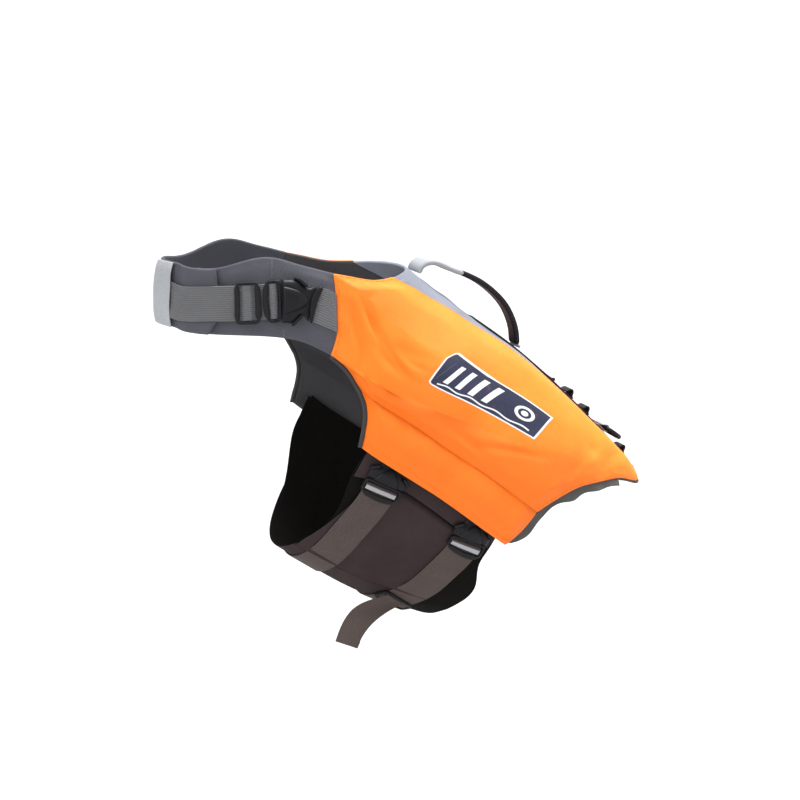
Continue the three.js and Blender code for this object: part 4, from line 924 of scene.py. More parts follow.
def webbing(name, way, start, end, base, material, slot, node, lean=None, step=1.6):
    """Flat webbing on a way between two lengths; base gives its lift, and the lean slants its
    first end. Returns its place function and the height of its outer face."""
    length = end - start

    def place(u, v, height):
        x, y = start + u * length, (v - 0.5) * WEBBING_WIDTH
        if lean:
            x = x + lean(y) * np.clip(1 - u * length / 16, 0, 1)
        return way.place(x, y, height)

    def low(u, v):
        return base(start + u * length) + 0 * v

    def high(u, v):
        return low(u, v) + WEBBING

    piece, _ = shell(
        name, place, stations(length, 1.2, int(length / step)), stations(WEBBING_WIDTH, 1.2, 26),
        low, high, (length, WEBBING_WIDTH), WEBBING_ROLL,
    )
    put(piece, material, slot, node)
    return place, high


def tube_faces(rings, sides, closed):
    """Faces of a section carried along a path, closed on itself or capped."""
    grid = np.arange(rings * sides).reshape(rings, sides)
    grid = np.concatenate([grid, grid[:, :1]], axis=1)
    if closed:
        return quads_of(np.concatenate([grid, grid[:1]], axis=0))
    k = np.arange(sides // 2 - 1)
    cap = np.stack([k, k + 1, sides - 2 - k, sides - 1 - k], -1)
    return np.concatenate([quads_of(grid), cap, cap[:, ::-1] + (rings - 1) * sides])


def moulded(path, lift, width, height, closed=False, sides=16, square=0.55):
    """Strap-space points of a bar: a section between a circle and a rectangle, of the width
    and height, carried along a path in the strap's plane at a lift."""
    ahead = np.roll(path, -1, 0) - np.roll(path, 1, 0) if closed else np.gradient(path, axis=0)
    ahead = unit(ahead)
    side = np.stack([-ahead[:, 1], ahead[:, 0]], -1)
    turn = np.linspace(0, 2 * math.pi, sides, endpoint=False)
    c, s = (np.sign(wave) * np.abs(wave) ** square for wave in (np.cos(turn), np.sin(turn)))
    width, height, lift = (np.broadcast_to(value, len(path))[:, None] for value in (width, height, lift))
    x = path[:, :1] + side[:, :1] * c * width / 2
    y = path[:, 1:] + side[:, 1:] * c * width / 2
    return (x, y, lift + s * height / 2), tube_faces(len(path), sides, closed)


def rounded_box(x0, x1, y1, radius, count=8, straight=10):
    """Closed path round a rectangle with rounded corners, in the strap's plane."""
    left, right, top = x0 + radius, x1 - radius, y1 - radius
    turns = []
    for k, (x, y) in enumerate(((right, top), (left, top), (left, -top), (right, -top))):
        turn = np.linspace(0, math.pi / 2, count) + k * math.pi / 2
        turns.append(np.stack([x + radius * np.cos(turn), y + radius * np.sin(turn)], -1))
    gap = np.linspace(0, 1, straight + 2)[1:-1, None]
    parts = []
    for k, part in enumerate(turns):
        parts += [part, part[-1] * (1 - gap) + turns[(k + 1) % 4][0] * gap]
    return np.concatenate(parts)


def joined(name, place, parts):
    """One object from several strap-space bodies."""
    points, quads, count = [], [], 0
    for (x, y, height), faces in parts:
        shape = np.broadcast_shapes(x.shape, y.shape, height.shape)
        where = place(*(np.broadcast_to(value, shape).astype(float) for value in (x, y, height)))
        where = where.reshape(-1, 3)
        points.append(where)
        quads.append((faces[:, ::-1] if inside_out(where, faces) else faces) + count)
        count += len(where)
    points, quads = np.concatenate(points), np.concatenate(quads)
    return mesh_piece(name, points, quads, points[quads][..., :2] / 1000)


plastic = Finish("moulded_plastic", 0.45, 0.2)
grain = plastic.noise(700.0)
worn = plastic.noise(35.0, 4.0)
plastic.colour(plastic.mix(worn * 0.6 + grain * 0.2, (0.0035, 0.0033, 0.0045), (0.009, 0.0085, 0.0115)))
plastic.roughness(0.40 + worn * 0.12 + grain * 0.05)
plastic.bump(grain, 0.00012)

FRAME_WIDTH, WINDOW_WIDTH, FRAME_CORNER, BAR, MIDDLE_BAR, RAIL_LOW = 45.0, 39.2, 3.2, 3.0, 2.0, 0.3
RAIL_WIDTH, RAIL_HEIGHT, RAIL_LIFT = 2.9, 4.5, 2.65
BAR_CLIMB = RAIL_LOW + MIDDLE_BAR + LAY_GAP
CLIMB_FROM, CLIMB_TO = 2.9, 0.8  # the webbing's climb on a middle bar, from its side


def strap_frame(name, way, start, end, base, ends, bar, node, bow=0.0):
    """A slider or a buckle's strap end: a rounded frame whose end bars pass over the webbing
    and whose middle bar passes under it; the bow draws back the far bar's corners. Returns the
    lift that the middle bar gives the webbing."""
    middle = (start + ends[0] + end - ends[1]) / 2
    y = (FRAME_WIDTH + WINDOW_WIDTH) / 4
    path = rounded_box(start + ends[0] / 2, end - ends[1] / 2, y, FRAME_CORNER)
    rail = smooth((np.abs(path[:, 1]) - 15.5) / 3.5)
    first = path[:, 0] < middle
    path[:, 0] -= np.where(first, 0, bow * (path[:, 1] / y) ** 2)
    wide = np.where(first, ends[0], ends[1]) * (1 - rail) + RAIL_WIDTH * rail
    lift = base(path[:, 0]) + (WEBBING + LAY_GAP + BAR / 2) * (1 - rail) + RAIL_LIFT * rail
    tall = BAR * (1 - rail) + RAIL_HEIGHT * rail
    across = np.stack([np.full(24, middle), np.linspace(-y, y, 24)], -1)
    piece = joined(name, way.place, [
        moulded(path, lift, wide, tall, closed=True),
        moulded(across, base(across[:, 0]) + RAIL_LOW + MIDDLE_BAR / 2, bar, MIDDLE_BAR),
    ])
    put(piece, plastic.material, "plastic", node)
    half = bar / 2
    marks = middle + np.array([-half - CLIMB_FROM, -half - CLIMB_TO, half + CLIMB_TO, half + CLIMB_FROM])
    return lambda x: BAR_CLIMB * np.interp(x, marks, [0, 1, 1, 0], left=0, right=0)


LADDER_ENDS, SLIDER_ENDS = (3.2, 6.0), (6.5, 5.5)
BODY_SLOT, BUCKLE_WIDTH, BODY_END_HEIGHT, CRESCENT_HALF = 7.2, 48.0, 4.4, 20.5


def strap_start(start, end):
    """Where a strap begins, behind the middle bar of a ladder between two lengths."""
    return (start + 3.2 + end - 5.2) / 2 - 2 - CLIMB_FROM


def buckle_body(name, way, start, end, base, height, node):
    """The buckle's case: a crowned shell that narrows past its two thumb levers, with the
    domed tongue of the other half on top, and a crescent bar that holds the sewn webbing."""
    slot = start + BODY_SLOT
    length = end - slot

    def half_width(u):
        return BUCKLE_WIDTH / 2 - 1.0 - 8.0 * smooth((0.62 - u) / 0.36) + 4.0 * smooth((0.2 - u) / 0.2)

    def place(u, v, lift):
        return way.place(slot + u * length, (2 * v - 1) * half_width(u), lift)

    def low(u, v):
        return base(slot + u * length) + RAIL_LOW

    def high(u, v):
        w = 2 * v - 1
        full = BODY_END_HEIGHT + (height - BODY_END_HEIGHT) * smooth(u * 1.6)
        reach = np.clip((u - 0.16) / 0.84, 0, 1)
        inside = 0.64 * np.sqrt(reach) - np.abs(w) * half_width(u) / (BUCKLE_WIDTH / 2)
        part = np.clip(inside / 0.5, 0, 1)
        dome = 2.1 * np.sqrt(1 - (1 - part) ** 2) * smooth((u - 0.16) / 0.05)
        groove = 0.9 * np.exp(-((inside / 0.028) ** 2)) * smooth((u - 0.14) / 0.05)
        return base(slot + u * length) + full * (1 - 0.2 * w * w - 0.22 * w**8) - 2.0 + dome - groove

    case, _ = shell(
        name, place, stations(length, 2.2, 60), stations(BUCKLE_WIDTH, 2.6, 70),
        low, high, (length, BUCKLE_WIDTH), 2.6,
    )
    put(case, plastic.material, "plastic", node)

    def tapered(count, power, least):
        """Shares of a bar's thickness that fall off towards its two ends."""
        return np.sqrt(np.clip(1 - np.linspace(-1, 1, count) ** power, least, 1))

    y = np.linspace(-CRESCENT_HALF, CRESCENT_HALF, 40)
    bend = 1 - (y / CRESCENT_HALF) ** 2
    path = np.stack([start + 2.4 + 4.2 * bend, y], -1)
    taper = tapered(40, 10, 0.03)
    lift = base(path[:, 0]) + 2.0 + 1.3 * smooth(bend * 4)
    parts = [moulded(path, lift, (3.2 + 4.2 * bend) * taper, 3.4 * taper)]
    u = np.linspace(0.26, 0.66, 26)
    taper = tapered(26, 4, 0.02)
    for sign in (-1, 1):
        path = np.stack([slot + u * length, sign * (half_width(u) + 1.2)], -1)
        parts.append(moulded(path, base(path[:, 0]) + height * 0.45, 3.4 * taper, height * 0.5 * taper))
    put(joined(f"{name}_strap_end", way.place, parts), plastic.material, "plastic")


neck_way = Way([
    (1.17, 83.1), (1.037, 87), (0.946, 90.4), (0.841, 97.8), (0.812, 105.1), (0.816, 113.3),
    (0.822, 125.2), (0.824, 137.7), (0.829, 152.1), (0.79, 163), (0.75, 178), (0.76, 200),
], COLLAR_LIFT)
NECK_ANGLES = [82, 87.5, 95, 114, 133, 152, 161, 170, 200]
NECK_LIFTS = [4.9, 6.8, 7.3, 10.2, 13.7, 13.7, 9.2, 7.4, 6.8]


def neck_at(angle):
    return neck_way.along(1, angle)


def neck_base(x):
    return np.interp(neck_way.angle(x), NECK_ANGLES, NECK_LIFTS)


def neck_strap_base(x):
    return neck_base(x) + over_slider(x) + over_ladder(x)


over_slider = strap_frame(
    "neck_slider", neck_way, neck_at(113.6), neck_at(125), neck_base, SLIDER_ENDS, 6, "collar_slider",
)
ladder, ladder_end, case_start = neck_at(105.1), neck_at(113), neck_at(89.5)
over_ladder = strap_frame(
    "neck_buckle_ladder", neck_way, ladder, ladder_end, neck_base, LADDER_ENDS, 4, "collar_buckle_male", bow=3.0,
)
buckle_body(
    "neck_buckle_case", neck_way, case_start, neck_at(104.9), neck_base, 12, "collar_buckle_female",
)

web_grey = webbing_finish("webbing_grey", (0.073, 0.074, 0.080), (0.146, 0.147, 0.154))
webbing(
    "neck_webbing_front", neck_way, strap_start(ladder, ladder_end), neck_way.length, neck_strap_base,
    web_grey, "grey_webbing", "collar_strap_front",
)

# The rear webbing's first end leans so that it starts just past the collar seam.
seam_y, seam_x = np.linspace(-19, 19, 20), np.linspace(-16, 16, 200)
seam_row_at = edge(COLLAR_SEAM)(np.linspace(0, 1, 200))
across_strap, along_strap = np.meshgrid(seam_y, seam_x, indexing="ij")
on_strap = beside(neck_way.line, neck_way.share(along_strap), across_strap)
seam_angle = np.interp(on_strap[..., 0], seam_row_at[:, 0], seam_row_at[:, 1])
seam_at = seam_x[np.argmin(np.abs(on_strap[..., 1] - seam_angle - 0.5), axis=1)]
webbing(
    "neck_webbing_rear", neck_way, 0.0, case_start + 4, neck_base, web_grey, "grey_webbing",
    "collar_strap_rear", lean=lambda y: np.interp(y, seam_y, seam_at),
)

web_light = webbing_finish("webbing_light", (0.27, 0.283, 0.305), (0.415, 0.43, 0.455), pitch=2.0)
KEEPER_HEIGHT, KEEPER_WIDTH, KEEPER_START, KEEPER_DEGREES = 74.0, 38.0, 161.5, 20.0


def keeper_chart(u, v):
    angle = KEEPER_START + KEEPER_DEGREES * u
    top, low = COLLAR_TOP_LINE(fold(angle))[..., 0], COLLAR_LOW_LINE(fold(angle))[..., 0]
    return np.stack([top * (1 - v) + low * v, angle], -1)


def keeper_low(u, v):
    over = 1 - np.abs(2 * v - 1) ** 3.5
    uneven = 0.3 * waves(v * KEEPER_HEIGHT, u * KEEPER_WIDTH, [(1, 38, 20, 0.4)])
    return COLLAR_LIFT + LAY_GAP + 5.0 * over + uneven * over


keeper, _ = shell(
    "throat_loop", on_chart(keeper_chart), stations(KEEPER_WIDTH, 1.2, 26), stations(KEEPER_HEIGHT, 1.2, 70),
    keeper_low, lambda u, v: keeper_low(u, v) + WEBBING, (KEEPER_WIDTH, KEEPER_HEIGHT), WEBBING_ROLL,
)
put(keeper, web_light, "light_webbing", "collar_keeper")


# Belly pieces. A black inner band runs under the chest from one side panel to the other. Dark
# grey-brown flaps close over it and meet in a soft fold; strips of the same cloth are sewn
# under the panels' lower edges.
BAND_WIDTH, BAND_LENGTH, BAND_START, BAND_DEGREES = 130.0, 420.0, 92, 176
STRIP_WIDTH, STRIP_LENGTH, STRIP_RING, STRIP_RINGS, STRIP_TOP_ANGLE = 28, 150, 3.46, 2.26, 93
FLAP_LIFT, FLAP_TOP, FLAP_ROLL = 1.7, 3.2, 0.75
FLAP_WIDTH, LEFT_FLAP, RIGHT_FLAP, FLAP_RING, FLAP_RINGS = 120.0, 105, 220, 3.74, 1.82

black = Finish("black_cloth", 0.95, 0.04)
threads = woven(black, 1.4)
black.colour(black.mix(threads * 0.3 + black.noise(40.0) * 0.4, (0.004, 0.0036, 0.0034), (0.013, 0.0118, 0.011)))
black.bump(threads * 0.3 + black.noise(22.0) * 0.8, 0.0012)

belly = Finish("belly_grey_brown", 0.8, 0.06)
threads = woven(belly, 1.5)
blotch = belly.noise(20.0, 4.0)
faded = belly.mix(threads * 0.25 + blotch * 0.7 - 0.05, (0.026, 0.0170, 0.0178), (0.062, 0.044, 0.045))
seam_shadow = (1.0 - belly.cut()[1] / 6.0).limit()
belly.colour(belly.mix(seam_shadow * 0.9, faded, (0.004, 0.003, 0.003)))
belly.bump(threads * 0.3 + blotch * 0.9, 0.0016)

band_front = cubic([92, 108, 120, 140, 180], [3.3, 3.42, 3.62, 3.78, 3.85])
band_rear = cubic([92, 108, 116, 127, 142, 158, 180], [5.7, 5.76, 5.79, 5.97, 6.0, 5.95, 5.9])
strip_low = cubic([3.46, 3.8, 4.3, 5.14, 5.72], [109, 105, 103.2, 105.3, 107.5])
flap_fold = cubic([3.74, 4.29, 4.79, 5.16, 5.56], [154, 152.7, 149.9, 147.5, 146])


def band_chart(u, v):
    angle = BAND_START + BAND_DEGREES * v
    front, rear = band_front(fold(angle))[..., 0], band_rear(fold(angle))[..., 0]
    return np.stack([front * (1 - u) + rear * u, angle], -1)


def band_high(u, v):
    return 1.3 + 0.25 * waves(u * BAND_WIDTH, v * BAND_LENGTH, [(1, 52, 30, 0.1), (0.6, 31, 80, 0.7)])


band, outer = shell(
    "belly_lining", on_chart(band_chart), stations(BAND_WIDTH, 2, 60), stations(BAND_LENGTH, 2, 160),
    LINING_LIFT, band_high, (BAND_WIDTH, BAND_LENGTH), 0.5,
)
put(band, black.material, "black_cloth", "belly_band")
cloth(band, outer)


def strip_chart(u, v):
    ring = STRIP_RING + STRIP_RINGS * u
    angle = STRIP_TOP_ANGLE * (1 - v) + strip_low(ring)[..., 0] * v
    return np.stack([ring - 0.2 * (1 - u) * (1 - v), angle], -1)


def strip_high(u, v):
    return FLAP_TOP + 0.3 * waves(u * STRIP_LENGTH, v * STRIP_WIDTH, [(1, 34, 20, 0.1)])


for name, side in SIDES:
    strip, outer = shell(
        f"side_strip_cloth_{name}", on_chart(strip_chart, side), stations(STRIP_LENGTH, 1.5, 90),
        stations(STRIP_WIDTH, 1.5, 20), FLAP_LIFT, strip_high, (STRIP_LENGTH, STRIP_WIDTH), FLAP_ROLL,
    )
    put(strip, belly.material, "belly_cloth", f"side_strip_{name}")
    cloth(strip, outer)


def left_flap_chart(u, v):
    ring = FLAP_RING + FLAP_RINGS * u
    start, end = strip_low(ring)[..., 0] + 0.25, flap_fold(ring)[..., 0] - 0.25
    return np.stack([ring, start * (1 - v) + end * v], -1)


def right_flap_chart(u, v):
    ring = FLAP_RING + FLAP_RINGS * u
    start, end = flap_fold(ring)[..., 0], 360 - strip_low(ring)[..., 0] - 0.25
    return np.stack([ring, start * (1 - v) + end * v], -1)


def left_flap_roll(v):
    """The soft roll of the left flap's free edge, where it folds over the right one."""
    return 2.6 * np.exp(-(((v - 1) * LEFT_FLAP / 8) ** 2))


def left_flap_low(u, v):
    return FLAP_LIFT + 0.9 * left_flap_roll(v)


def left_flap_high(u, v):
    crease = -0.8 * np.exp(-(((v - 0.84) * LEFT_FLAP / 3.5) ** 2))
    uneven = waves(u * FLAP_WIDTH, v * LEFT_FLAP, [(0.3, 58, 40, 0.3), (0.2, 33, 100, 1.1)])
    return FLAP_TOP - 0.1 + left_flap_roll(v) + crease + uneven


def right_flap_high(u, v):
    return FLAP_TOP + waves(u * FLAP_WIDTH, v * RIGHT_FLAP, [(0.25, 66, 50, 0.3), (0.15, 37, 95, 1.1)])


for name, chart, length, count, low, high in (
    ("left", left_flap_chart, LEFT_FLAP, 70, left_flap_low, left_flap_high),
    ("right", right_flap_chart, RIGHT_FLAP, 130, FLAP_LIFT, right_flap_high),
):
    flap, outer = shell(
        f"belly_flap_cloth_{name}", on_chart(chart), stations(FLAP_WIDTH, 1.5, 80),
        stations(length, 1.5, count), low, high, (FLAP_WIDTH, length), FLAP_ROLL,
    )
    put(flap, belly.material, "belly_cloth", f"belly_flap_{name}")
    cloth(flap, outer)


# Belly straps. Two brown-grey webbing straps over the flaps, each with a side-release buckle
# that tucks under the left panel's flared edge. The rear one runs through a slider and hangs
# free.
BELLY_LIFT, CASE_LENGTH, LADDER_LENGTH = 3.6, 29, 21
WINDOW_LIFT, WINDOW_LENGTH, WINDOW_STRIP = BELLY_LIFT + BAR_CLIMB + WEBBING, 4.6, 36.6
TAIL_END_LENGTH, TAIL_END_WIDTH = 75, 26
BELLY_STRAPS = (
    ("front", 97.7, [
        (3.8, 95), (3.85, 103), (3.93, 112), (4.0, 127), (4.06, 139), (4.13, 160), (4.15, 180),
        (4.1, 205), (4.0, 235), (3.83, 264),
    ]),
    ("rear", 99.9, [
        (5.37, 96), (5.39, 104), (5.42, 112), (5.4, 124.6), (5.38, 139), (5.3, 155), (5.25, 180),
        (5.3, 205), (5.38, 235), (5.38, 262),
    ]),
)
web_brown = webbing_finish(
    "webbing_brown", (0.046, 0.0335, 0.030), (0.098, 0.0735, 0.067), pitch=2.5, roughness=0.78,
)
web_black = webbing_finish("webbing_black", (0.0095, 0.0095, 0.012), (0.028, 0.028, 0.033), roughness=0.8)


def belly_base(x):
    return BELLY_LIFT + 0 * np.asarray(x, float)


for name, edge_angle, table in BELLY_STRAPS:
    way = Way(table, BELLY_LIFT)
    start = way.along(1, edge_angle) - 9
    ladder = start + CASE_LENGTH + LAY_GAP
    buckle_body(
        f"belly_buckle_case_{name}", way, start, start + CASE_LENGTH, belly_base, 9,
        f"belly_buckle_{name}_female",
    )
    climbs = [strap_frame(
        f"belly_buckle_ladder_{name}", way, ladder, ladder + LADDER_LENGTH, belly_base, LADDER_ENDS, 4,
        f"belly_buckle_{name}_male", bow=3.0,
    )]
    webbing(
        f"buckle_webbing_{name}", way, start - 12, start + 5, belly_base, web_black, "black_webbing",
        f"buckle_tab_{name}",
    )
    if name == "rear":
        slider = way.along(1, 152)
        climbs.append(strap_frame(
            "belly_slider_frame", way, slider, way.along(1, 163), belly_base, SLIDER_ENDS, 6, "belly_slider",
        ))
        tail_lift = BELLY_LIFT + 2 * WEBBING + BAR + 2 * LAY_GAP
        tail_start = way.place(np.full(2, slider + 2.0), np.array([-19.0, 5.0]), np.full(2, tail_lift))
    strap_from = strap_start(ladder, ladder + LADDER_LENGTH)

    def strap_base(x):
        return belly_base(x) + sum(climb(x) for climb in climbs)

    def on_window(u, v, height):
        return way.place(strap_from + 2.7 + WINDOW_LENGTH * u, (v - 0.5) * WINDOW_STRIP, height)

    webbing(
        f"belly_webbing_{name}", way, strap_from, way.length, strap_base, web_brown, "brown_webbing",
        f"belly_strap_{name}",
    )
    # The strap's pale turned end shows in the buckle's window.
    window, _ = shell(
        f"belly_window_strip_{name}", on_window, stations(WINDOW_LENGTH, 1.2, 8), stations(WINDOW_STRIP, 1.2, 24),
        WINDOW_LIFT - 0.3, WINDOW_LIFT + 0.35, (WINDOW_LENGTH, WINDOW_STRIP), 0.3,
    )
    put(window, web_light, "brown_webbing")


def through(points):
    """Cubic line through points, spaced by their distance, and its length."""
    points = np.asarray(points, float)
    knots = lengths_to(points)
    line = cubic(knots, points)
    return (lambda s: line(np.asarray(s, float) * knots[-1])), knots[-1]


tail_front, _ = through([tail_start[0], (-152, -39, -323), (-164, -32, -345), (-170, -30, -362)])
tail_rear, _ = through([tail_start[1], (-135, -64, -333), (-148, -61, -350), (-154, -60, -363)])


def on_tail_end(u, v, height):
    front, rear = tail_front(u), tail_rear(u)
    ahead = tail_front(u + 0.01) - tail_front(u - 0.01) + tail_rear(u + 0.01) - tail_rear(u - 0.01)
    return blend(front, rear, v) + unit(np.cross(rear - front, ahead)) * np.asarray(height)[..., None]


def tail_end_high(u, v):
    """The strap's last part is folded over and sewn, and so is thicker."""
    return WEBBING + 1.2 * smooth((u - 0.88) / 0.02)


tail, _ = shell(
    "belly_strap_end", on_tail_end, stations(TAIL_END_LENGTH, 1.2, 60), stations(TAIL_END_WIDTH, 1.2, 20),
    0.0, tail_end_high, (TAIL_END_LENGTH, TAIL_END_WIDTH), WEBBING_ROLL,
)
put(tail, web_brown, "brown_webbing", "strap_tail")


# Back webbing, handle and ring. Black webbing is sewn along the back and carries three loops; a
# light tab holds a plastic D-ring. The grab handle is light webbing with a dotted rubber grip.
SPINE_WEBBING_LIFT, SPINE_WEBBING_TOP = 4.1, 5.6
spine_way = Way([(4.1, 0), (5, 0), (6, 0), (7.83, 0)], SPINE_WEBBING_LIFT)
back_place, back_high = webbing(
    "back_webbing", spine_way, 0.0, spine_way.length, lambda x: SPINE_WEBBING_LIFT + 0 * x,
    web_black, "black_webbing", "spine_webbing",
)
thread_black = thread_finish("thread_black", (0.012, 0.012, 0.014), (0.03, 0.03, 0.034))
stitch_rows(
    "back_stitches", back_place, back_high, [("u", 3 / 38, 80), ("u", 1 - 3 / 38, 80)],
    thread_black, "black_webbing",
)


def ribbon(name, points, width, thickness, material, slot, node, roll=WEBBING_ROLL, count=90, rows=26):
    """A strip of one width through (x, z) points, bent in the plane of the spine. Returns its
    place function."""
    line, length = through([(x, 0, z) for x, z in points])

    def place(u, v, height):
        ahead = unit(line(u + 0.002) - line(u - 0.002))
        out = np.stack([-ahead[..., 2], 0 * u, ahead[..., 0]], -1)
        where = line(u) + out * np.asarray(height)[..., None]
        where[..., 1] += (v - 0.5) * width
        return where

    piece, _ = shell(
        name, place, stations(length, roll * 1.6, count), stations(width, roll * 1.6, rows),
        -thickness / 2, thickness / 2, (length, width), roll,
    )
    put(piece, material, slot, node)
    return place


def on_spine(ring, lift):
    """The x and z of a point at a lift over the spine."""
    point = lifted(np.array([float(ring)]), np.array([0.0]), np.array([float(lift)]))[0]
    return point[0], point[2]


HANDLE_WEBBING, HANDLE_PADDING, HANDLE_WIDTH = 3.0, 6.5, 36
front_place = ribbon("handle_front", [
    on_spine(0.9, 6.1), (-60, 62), (-52.5, 67), (-41, 67), (-30, 62.5), (-18, 57), (-9, 53.5),
], HANDLE_WIDTH, HANDLE_PADDING, web_light, "light_webbing", "handle_webbing_front", roll=3.1)
thread_light = thread_finish("thread_light", (0.30, 0.30, 0.32), (0.48, 0.48, 0.50))
stitch_rows(
    "handle_stitches", front_place, lambda u, v: HANDLE_PADDING / 2 + 0 * u,
    [("v", 0.22, 12), ("u", 5 / HANDLE_WIDTH, 18), ("u", 31 / HANDLE_WIDTH, 18)],
    thread_light, "light_webbing",
)

DOT_PITCH = 4.2
rubber = Finish("dotted_rubber", 0.6, 0.12)
cell_a, cell_b = ((way / DOT_PITCH).math("FRACT") - 0.5 for way in rubber.cut())
dots = (1.0 - (cell_a * cell_a + cell_b * cell_b) * 14.0).limit()
worn = rubber.noise(50.0, 4.0)
rubber.colour(rubber.mix(dots * 0.5 + worn * 0.3, (0.010, 0.010, 0.014), (0.034, 0.034, 0.042)))
rubber.roughness(0.5 + worn * 0.2)
rubber.bump(dots * 0.8 + worn * 0.2, 0.0008)
ribbon("handle_grip_rubber", [
    (-8.2, 53.2), (13, 43), (33, 28), (46, 14), (55.5, -3), (60.5, -20), (61.6, -34),
], 23, 6.2, rubber.material, "rubber", "handle_grip", roll=3.1, count=120, rows=30)
ribbon("handle_rear", [(61.7, -34.6), on_spine(5.2, 8.0)], 25, HANDLE_WEBBING, web_light,
       "light_webbing", "handle_webbing_rear", roll=1.3, count=30)

# Three loops, each by its ring, its length and its height.
LOOPS = ((6.25, 16, 6.5), (6.66, 14, 6), (7.58, 14, 6.5))
for i, (ring, length, height) in enumerate(LOOPS, 1):
    x = spine_way.along(0, ring) + length * np.array([0, 0.16, 0.3, 0.5, 0.7, 0.84, 1])
    up = SPINE_WEBBING_TOP + LAY_GAP + WEBBING / 2 + height * np.array([0, 0.04, 0.62, 1, 0.62, 0.04, 0])
    points = spine_way.place(x, 0 * x, up)
    ribbon(f"back_loop_{i}", points[:, [0, 2]], 20, WEBBING, web_black, "black_webbing",
           f"spine_loop_{i}", count=60)

# A short black thread with a bead is tacked down on the webbing in front of the loops.
BEAD, THREAD, THREAD_LENGTH, THREAD_BOW = 4.4, 1.5, 17, 3.0
tie_end = spine_way.along(0, 6.05)
tie_share = np.linspace(0, 1, 24)
tie_x = tie_end - THREAD_LENGTH + THREAD_LENGTH * tie_share
tie_path = np.stack([tie_x, THREAD_BOW * np.sin(math.pi * tie_share)], -1)
tie_lift = SPINE_WEBBING_TOP + THREAD / 2 + 1.2 * smooth(tie_share)
tie = moulded(tie_path, tie_lift, THREAD, THREAD, sides=12, square=1.0)
bead_turn = np.linspace(0.08, 0.92, 20)
bead_path = np.stack([tie_end - BEAD / 2 * np.cos(math.pi * bead_turn), 0 * bead_turn], -1)
bead_wide = BEAD * np.sin(math.pi * bead_turn)
bead = moulded(bead_path, SPINE_WEBBING_TOP + BEAD / 2, bead_wide, bead_wide, sides=20, square=1.0)
put(joined("back_bead", spine_way.place, [bead]), plastic.material, "plastic")
put(joined("back_thread", spine_way.place, [tie]), thread_black, "black_webbing")

# The ring's tab wraps the ring's bar, and the ring lies back on the webbing.
BAR_LIFT, TAB_RADIUS, TAB_WIDTH, RING_TILT = 4.5, 3.75, 25, math.radians(12)
RING_BAR_HALF, RING_BOW, RING_CORNER, RING_THICK = 18.5, 25.0, 3.0, 5.0
hinge_x = spine_way.along(0, 7.2)
hinge_lift = np.array([SPINE_WEBBING_TOP + LAY_GAP + BAR_LIFT])
hinge = spine_way.place(np.array([hinge_x]), np.zeros(1), hinge_lift)[0]
ends = spine_way.place(hinge_x + np.array([-1.0, 1.0]), np.zeros(2), np.zeros(2))
tailward = unit(ends[1] - ends[0])
upward = np.array([-tailward[2], 0, tailward[0]])
arc = np.radians(np.linspace(-90, 108, 14))
tab_path = np.concatenate([
    [(x, -TAB_RADIUS) for x in (-11, -6, -2)],
    TAB_RADIUS * np.stack([np.cos(arc), np.sin(arc)], -1),
    [(-4.5, 1.3), (-8, -0.9), (-11, -1.9)],
])
tab_points = hinge + tab_path[:, :1] * tailward + tab_path[:, 1:] * upward
ribbon("ring_tab", tab_points[:, [0, 2]], TAB_WIDTH, WEBBING, web_light, "light_webbing", "d_ring_tab")

ring_along = math.cos(RING_TILT) * tailward + math.sin(RING_TILT) * upward
ring_up = -math.sin(RING_TILT) * tailward + math.cos(RING_TILT) * upward
turn = np.linspace(math.pi / 2, -math.pi / 2, 60)
ring_bar = np.linspace(-1, 1, 20)[:, None] * (0, RING_BAR_HALF - RING_CORNER)
bend_x = RING_CORNER + (RING_BOW - RING_CORNER) * np.abs(np.cos(turn)) ** 0.8
ring_path = np.concatenate([ring_bar, np.stack([bend_x, RING_BAR_HALF * np.sin(turn)], -1)])


def on_ring(x, y, height):
    where = hinge + x[..., None] * ring_along + height[..., None] * ring_up
    where[..., 1] += y
    return where


ring_body = moulded(ring_path, 0.0, RING_THICK, RING_THICK, closed=True, sides=20, square=0.9)
put(joined("back_ring", on_ring, [ring_body]), plastic.material, "plastic", "d_ring", body="ring")


# Studio. A pale floor, a backdrop that is white at the horizon and dimmer above, three soft
# lights from above, the front and the shoulder, and the camera at the photograph's angle.
AZIMUTH, ELEVATION = math.radians(-20), math.radians(12)
PIXEL, FOCAL = 1.15, 2222.2  # mm of the jacket per pixel, and the distance in pixels
IMAGE_CENTRE, ORIGIN_AT = 400, (465, 317)  # in pixels of the photograph
FLOOR_HALF, FLOOR_LEVEL = 70, -0.62  # in metres, as are the lights' places
LIGHTS = (
    ("key_light", (0.6, 0.25, 1.6), 7.6, 35),
    ("front_light", (-0.8, -1.5, 0.55), 0.6, 50),
    ("shoulder_light", (-1.5, -0.5, 1.5), 1.5, 40),
)
HORIZON_FADE = (("From Min", 0.20), ("From Max", 0.38), ("To Min", 1.04), ("To Max", 0.34))

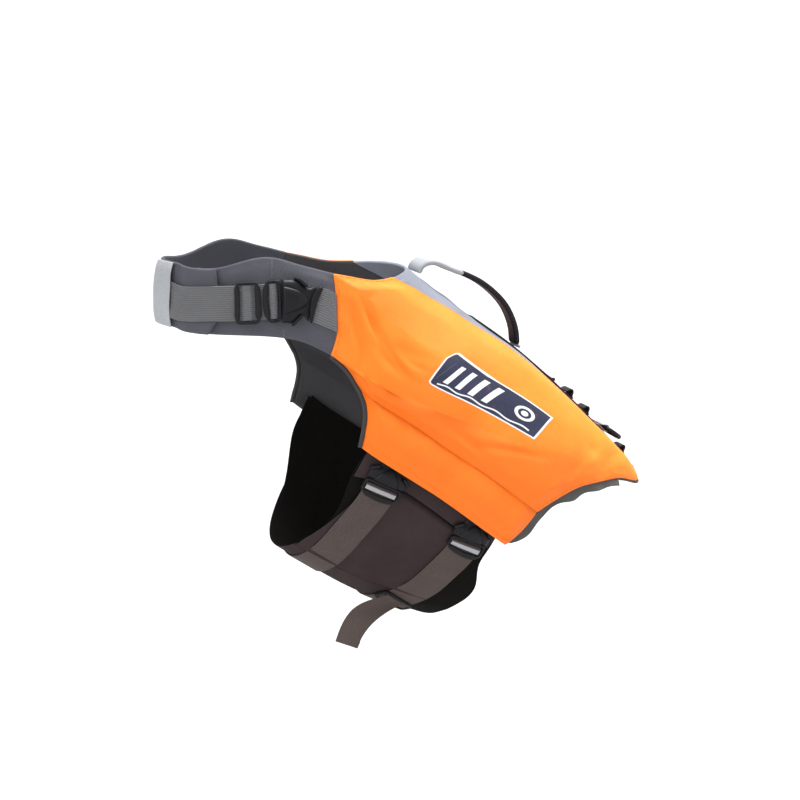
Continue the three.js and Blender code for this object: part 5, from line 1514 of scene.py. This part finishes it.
level = math.cos(ELEVATION)
back = Vector((math.sin(AZIMUTH) * level, -math.cos(AZIMUTH) * level, math.sin(ELEVATION)))
right = Vector((math.cos(AZIMUTH), math.sin(AZIMUTH), 0))
above = back.cross(right)
aim = right * ((IMAGE_CENTRE - ORIGIN_AT[0]) * PIXEL) - above * ((IMAGE_CENTRE - ORIGIN_AT[1]) * PIXEL)
lens = bpy.data.cameras.new("camera")
lens.lens, lens.sensor_width = 100, 36
lens.clip_end = 200
camera = bpy.data.objects.new("camera", lens)
camera.matrix_world = Matrix([(right[i], above[i], back[i], 0) for i in range(3)] + [(0, 0, 0, 1)])
camera.location = (aim + back * (PIXEL * FOCAL)) / 1000
bpy.context.scene.collection.objects.link(camera)
bpy.context.scene.camera = camera

floor_mesh = bpy.data.meshes.new("floor")
floor_corners = [(x * FLOOR_HALF, y * FLOOR_HALF, FLOOR_LEVEL) for x, y in ((-1, -1), (1, -1), (1, 1), (-1, 1))]
floor_mesh.from_pydata(floor_corners, [], [(0, 1, 2, 3)])
floor = bpy.data.objects.new("floor", floor_mesh)
bpy.context.scene.collection.objects.link(floor)
pale = Finish("pale_floor", 0.9)
pale.colour(pale.mix(pale.noise(2.0), (0.42, 0.42, 0.42), (0.44, 0.44, 0.44)))
floor_mesh.materials.append(pale.material)

for name, place, strength, spread in LIGHTS:
    light = bpy.data.lights.new(name, "SUN")
    light.energy, light.angle = strength, math.radians(spread)
    lamp = bpy.data.objects.new(name, light)
    lamp.location = place
    lamp.rotation_euler = (-Vector(place)).to_track_quat("-Z", "Y").to_euler()
    bpy.context.scene.collection.objects.link(lamp)

world = bpy.data.worlds.new("studio")
world.use_nodes = True
sky = world.node_tree
sky.nodes["Background"].inputs["Color"].default_value = (1.0, 1.0, 1.0, 1.0)
direction = sky.nodes.new("ShaderNodeTexCoord")
height = sky.nodes.new("ShaderNodeSeparateXYZ")
fade = sky.nodes.new("ShaderNodeMapRange")
fade.interpolation_type = "SMOOTHSTEP"
for socket, value in HORIZON_FADE:
    fade.inputs[socket].default_value = value
sky.links.new(direction.outputs["Generated"], height.inputs[0])
sky.links.new(height.outputs["Z"], fade.inputs["Value"])
sky.links.new(fade.outputs["Result"], sky.nodes["Background"].inputs["Strength"])
bpy.context.scene.world = world
bpy.context.scene.view_settings.view_transform = "Standard"
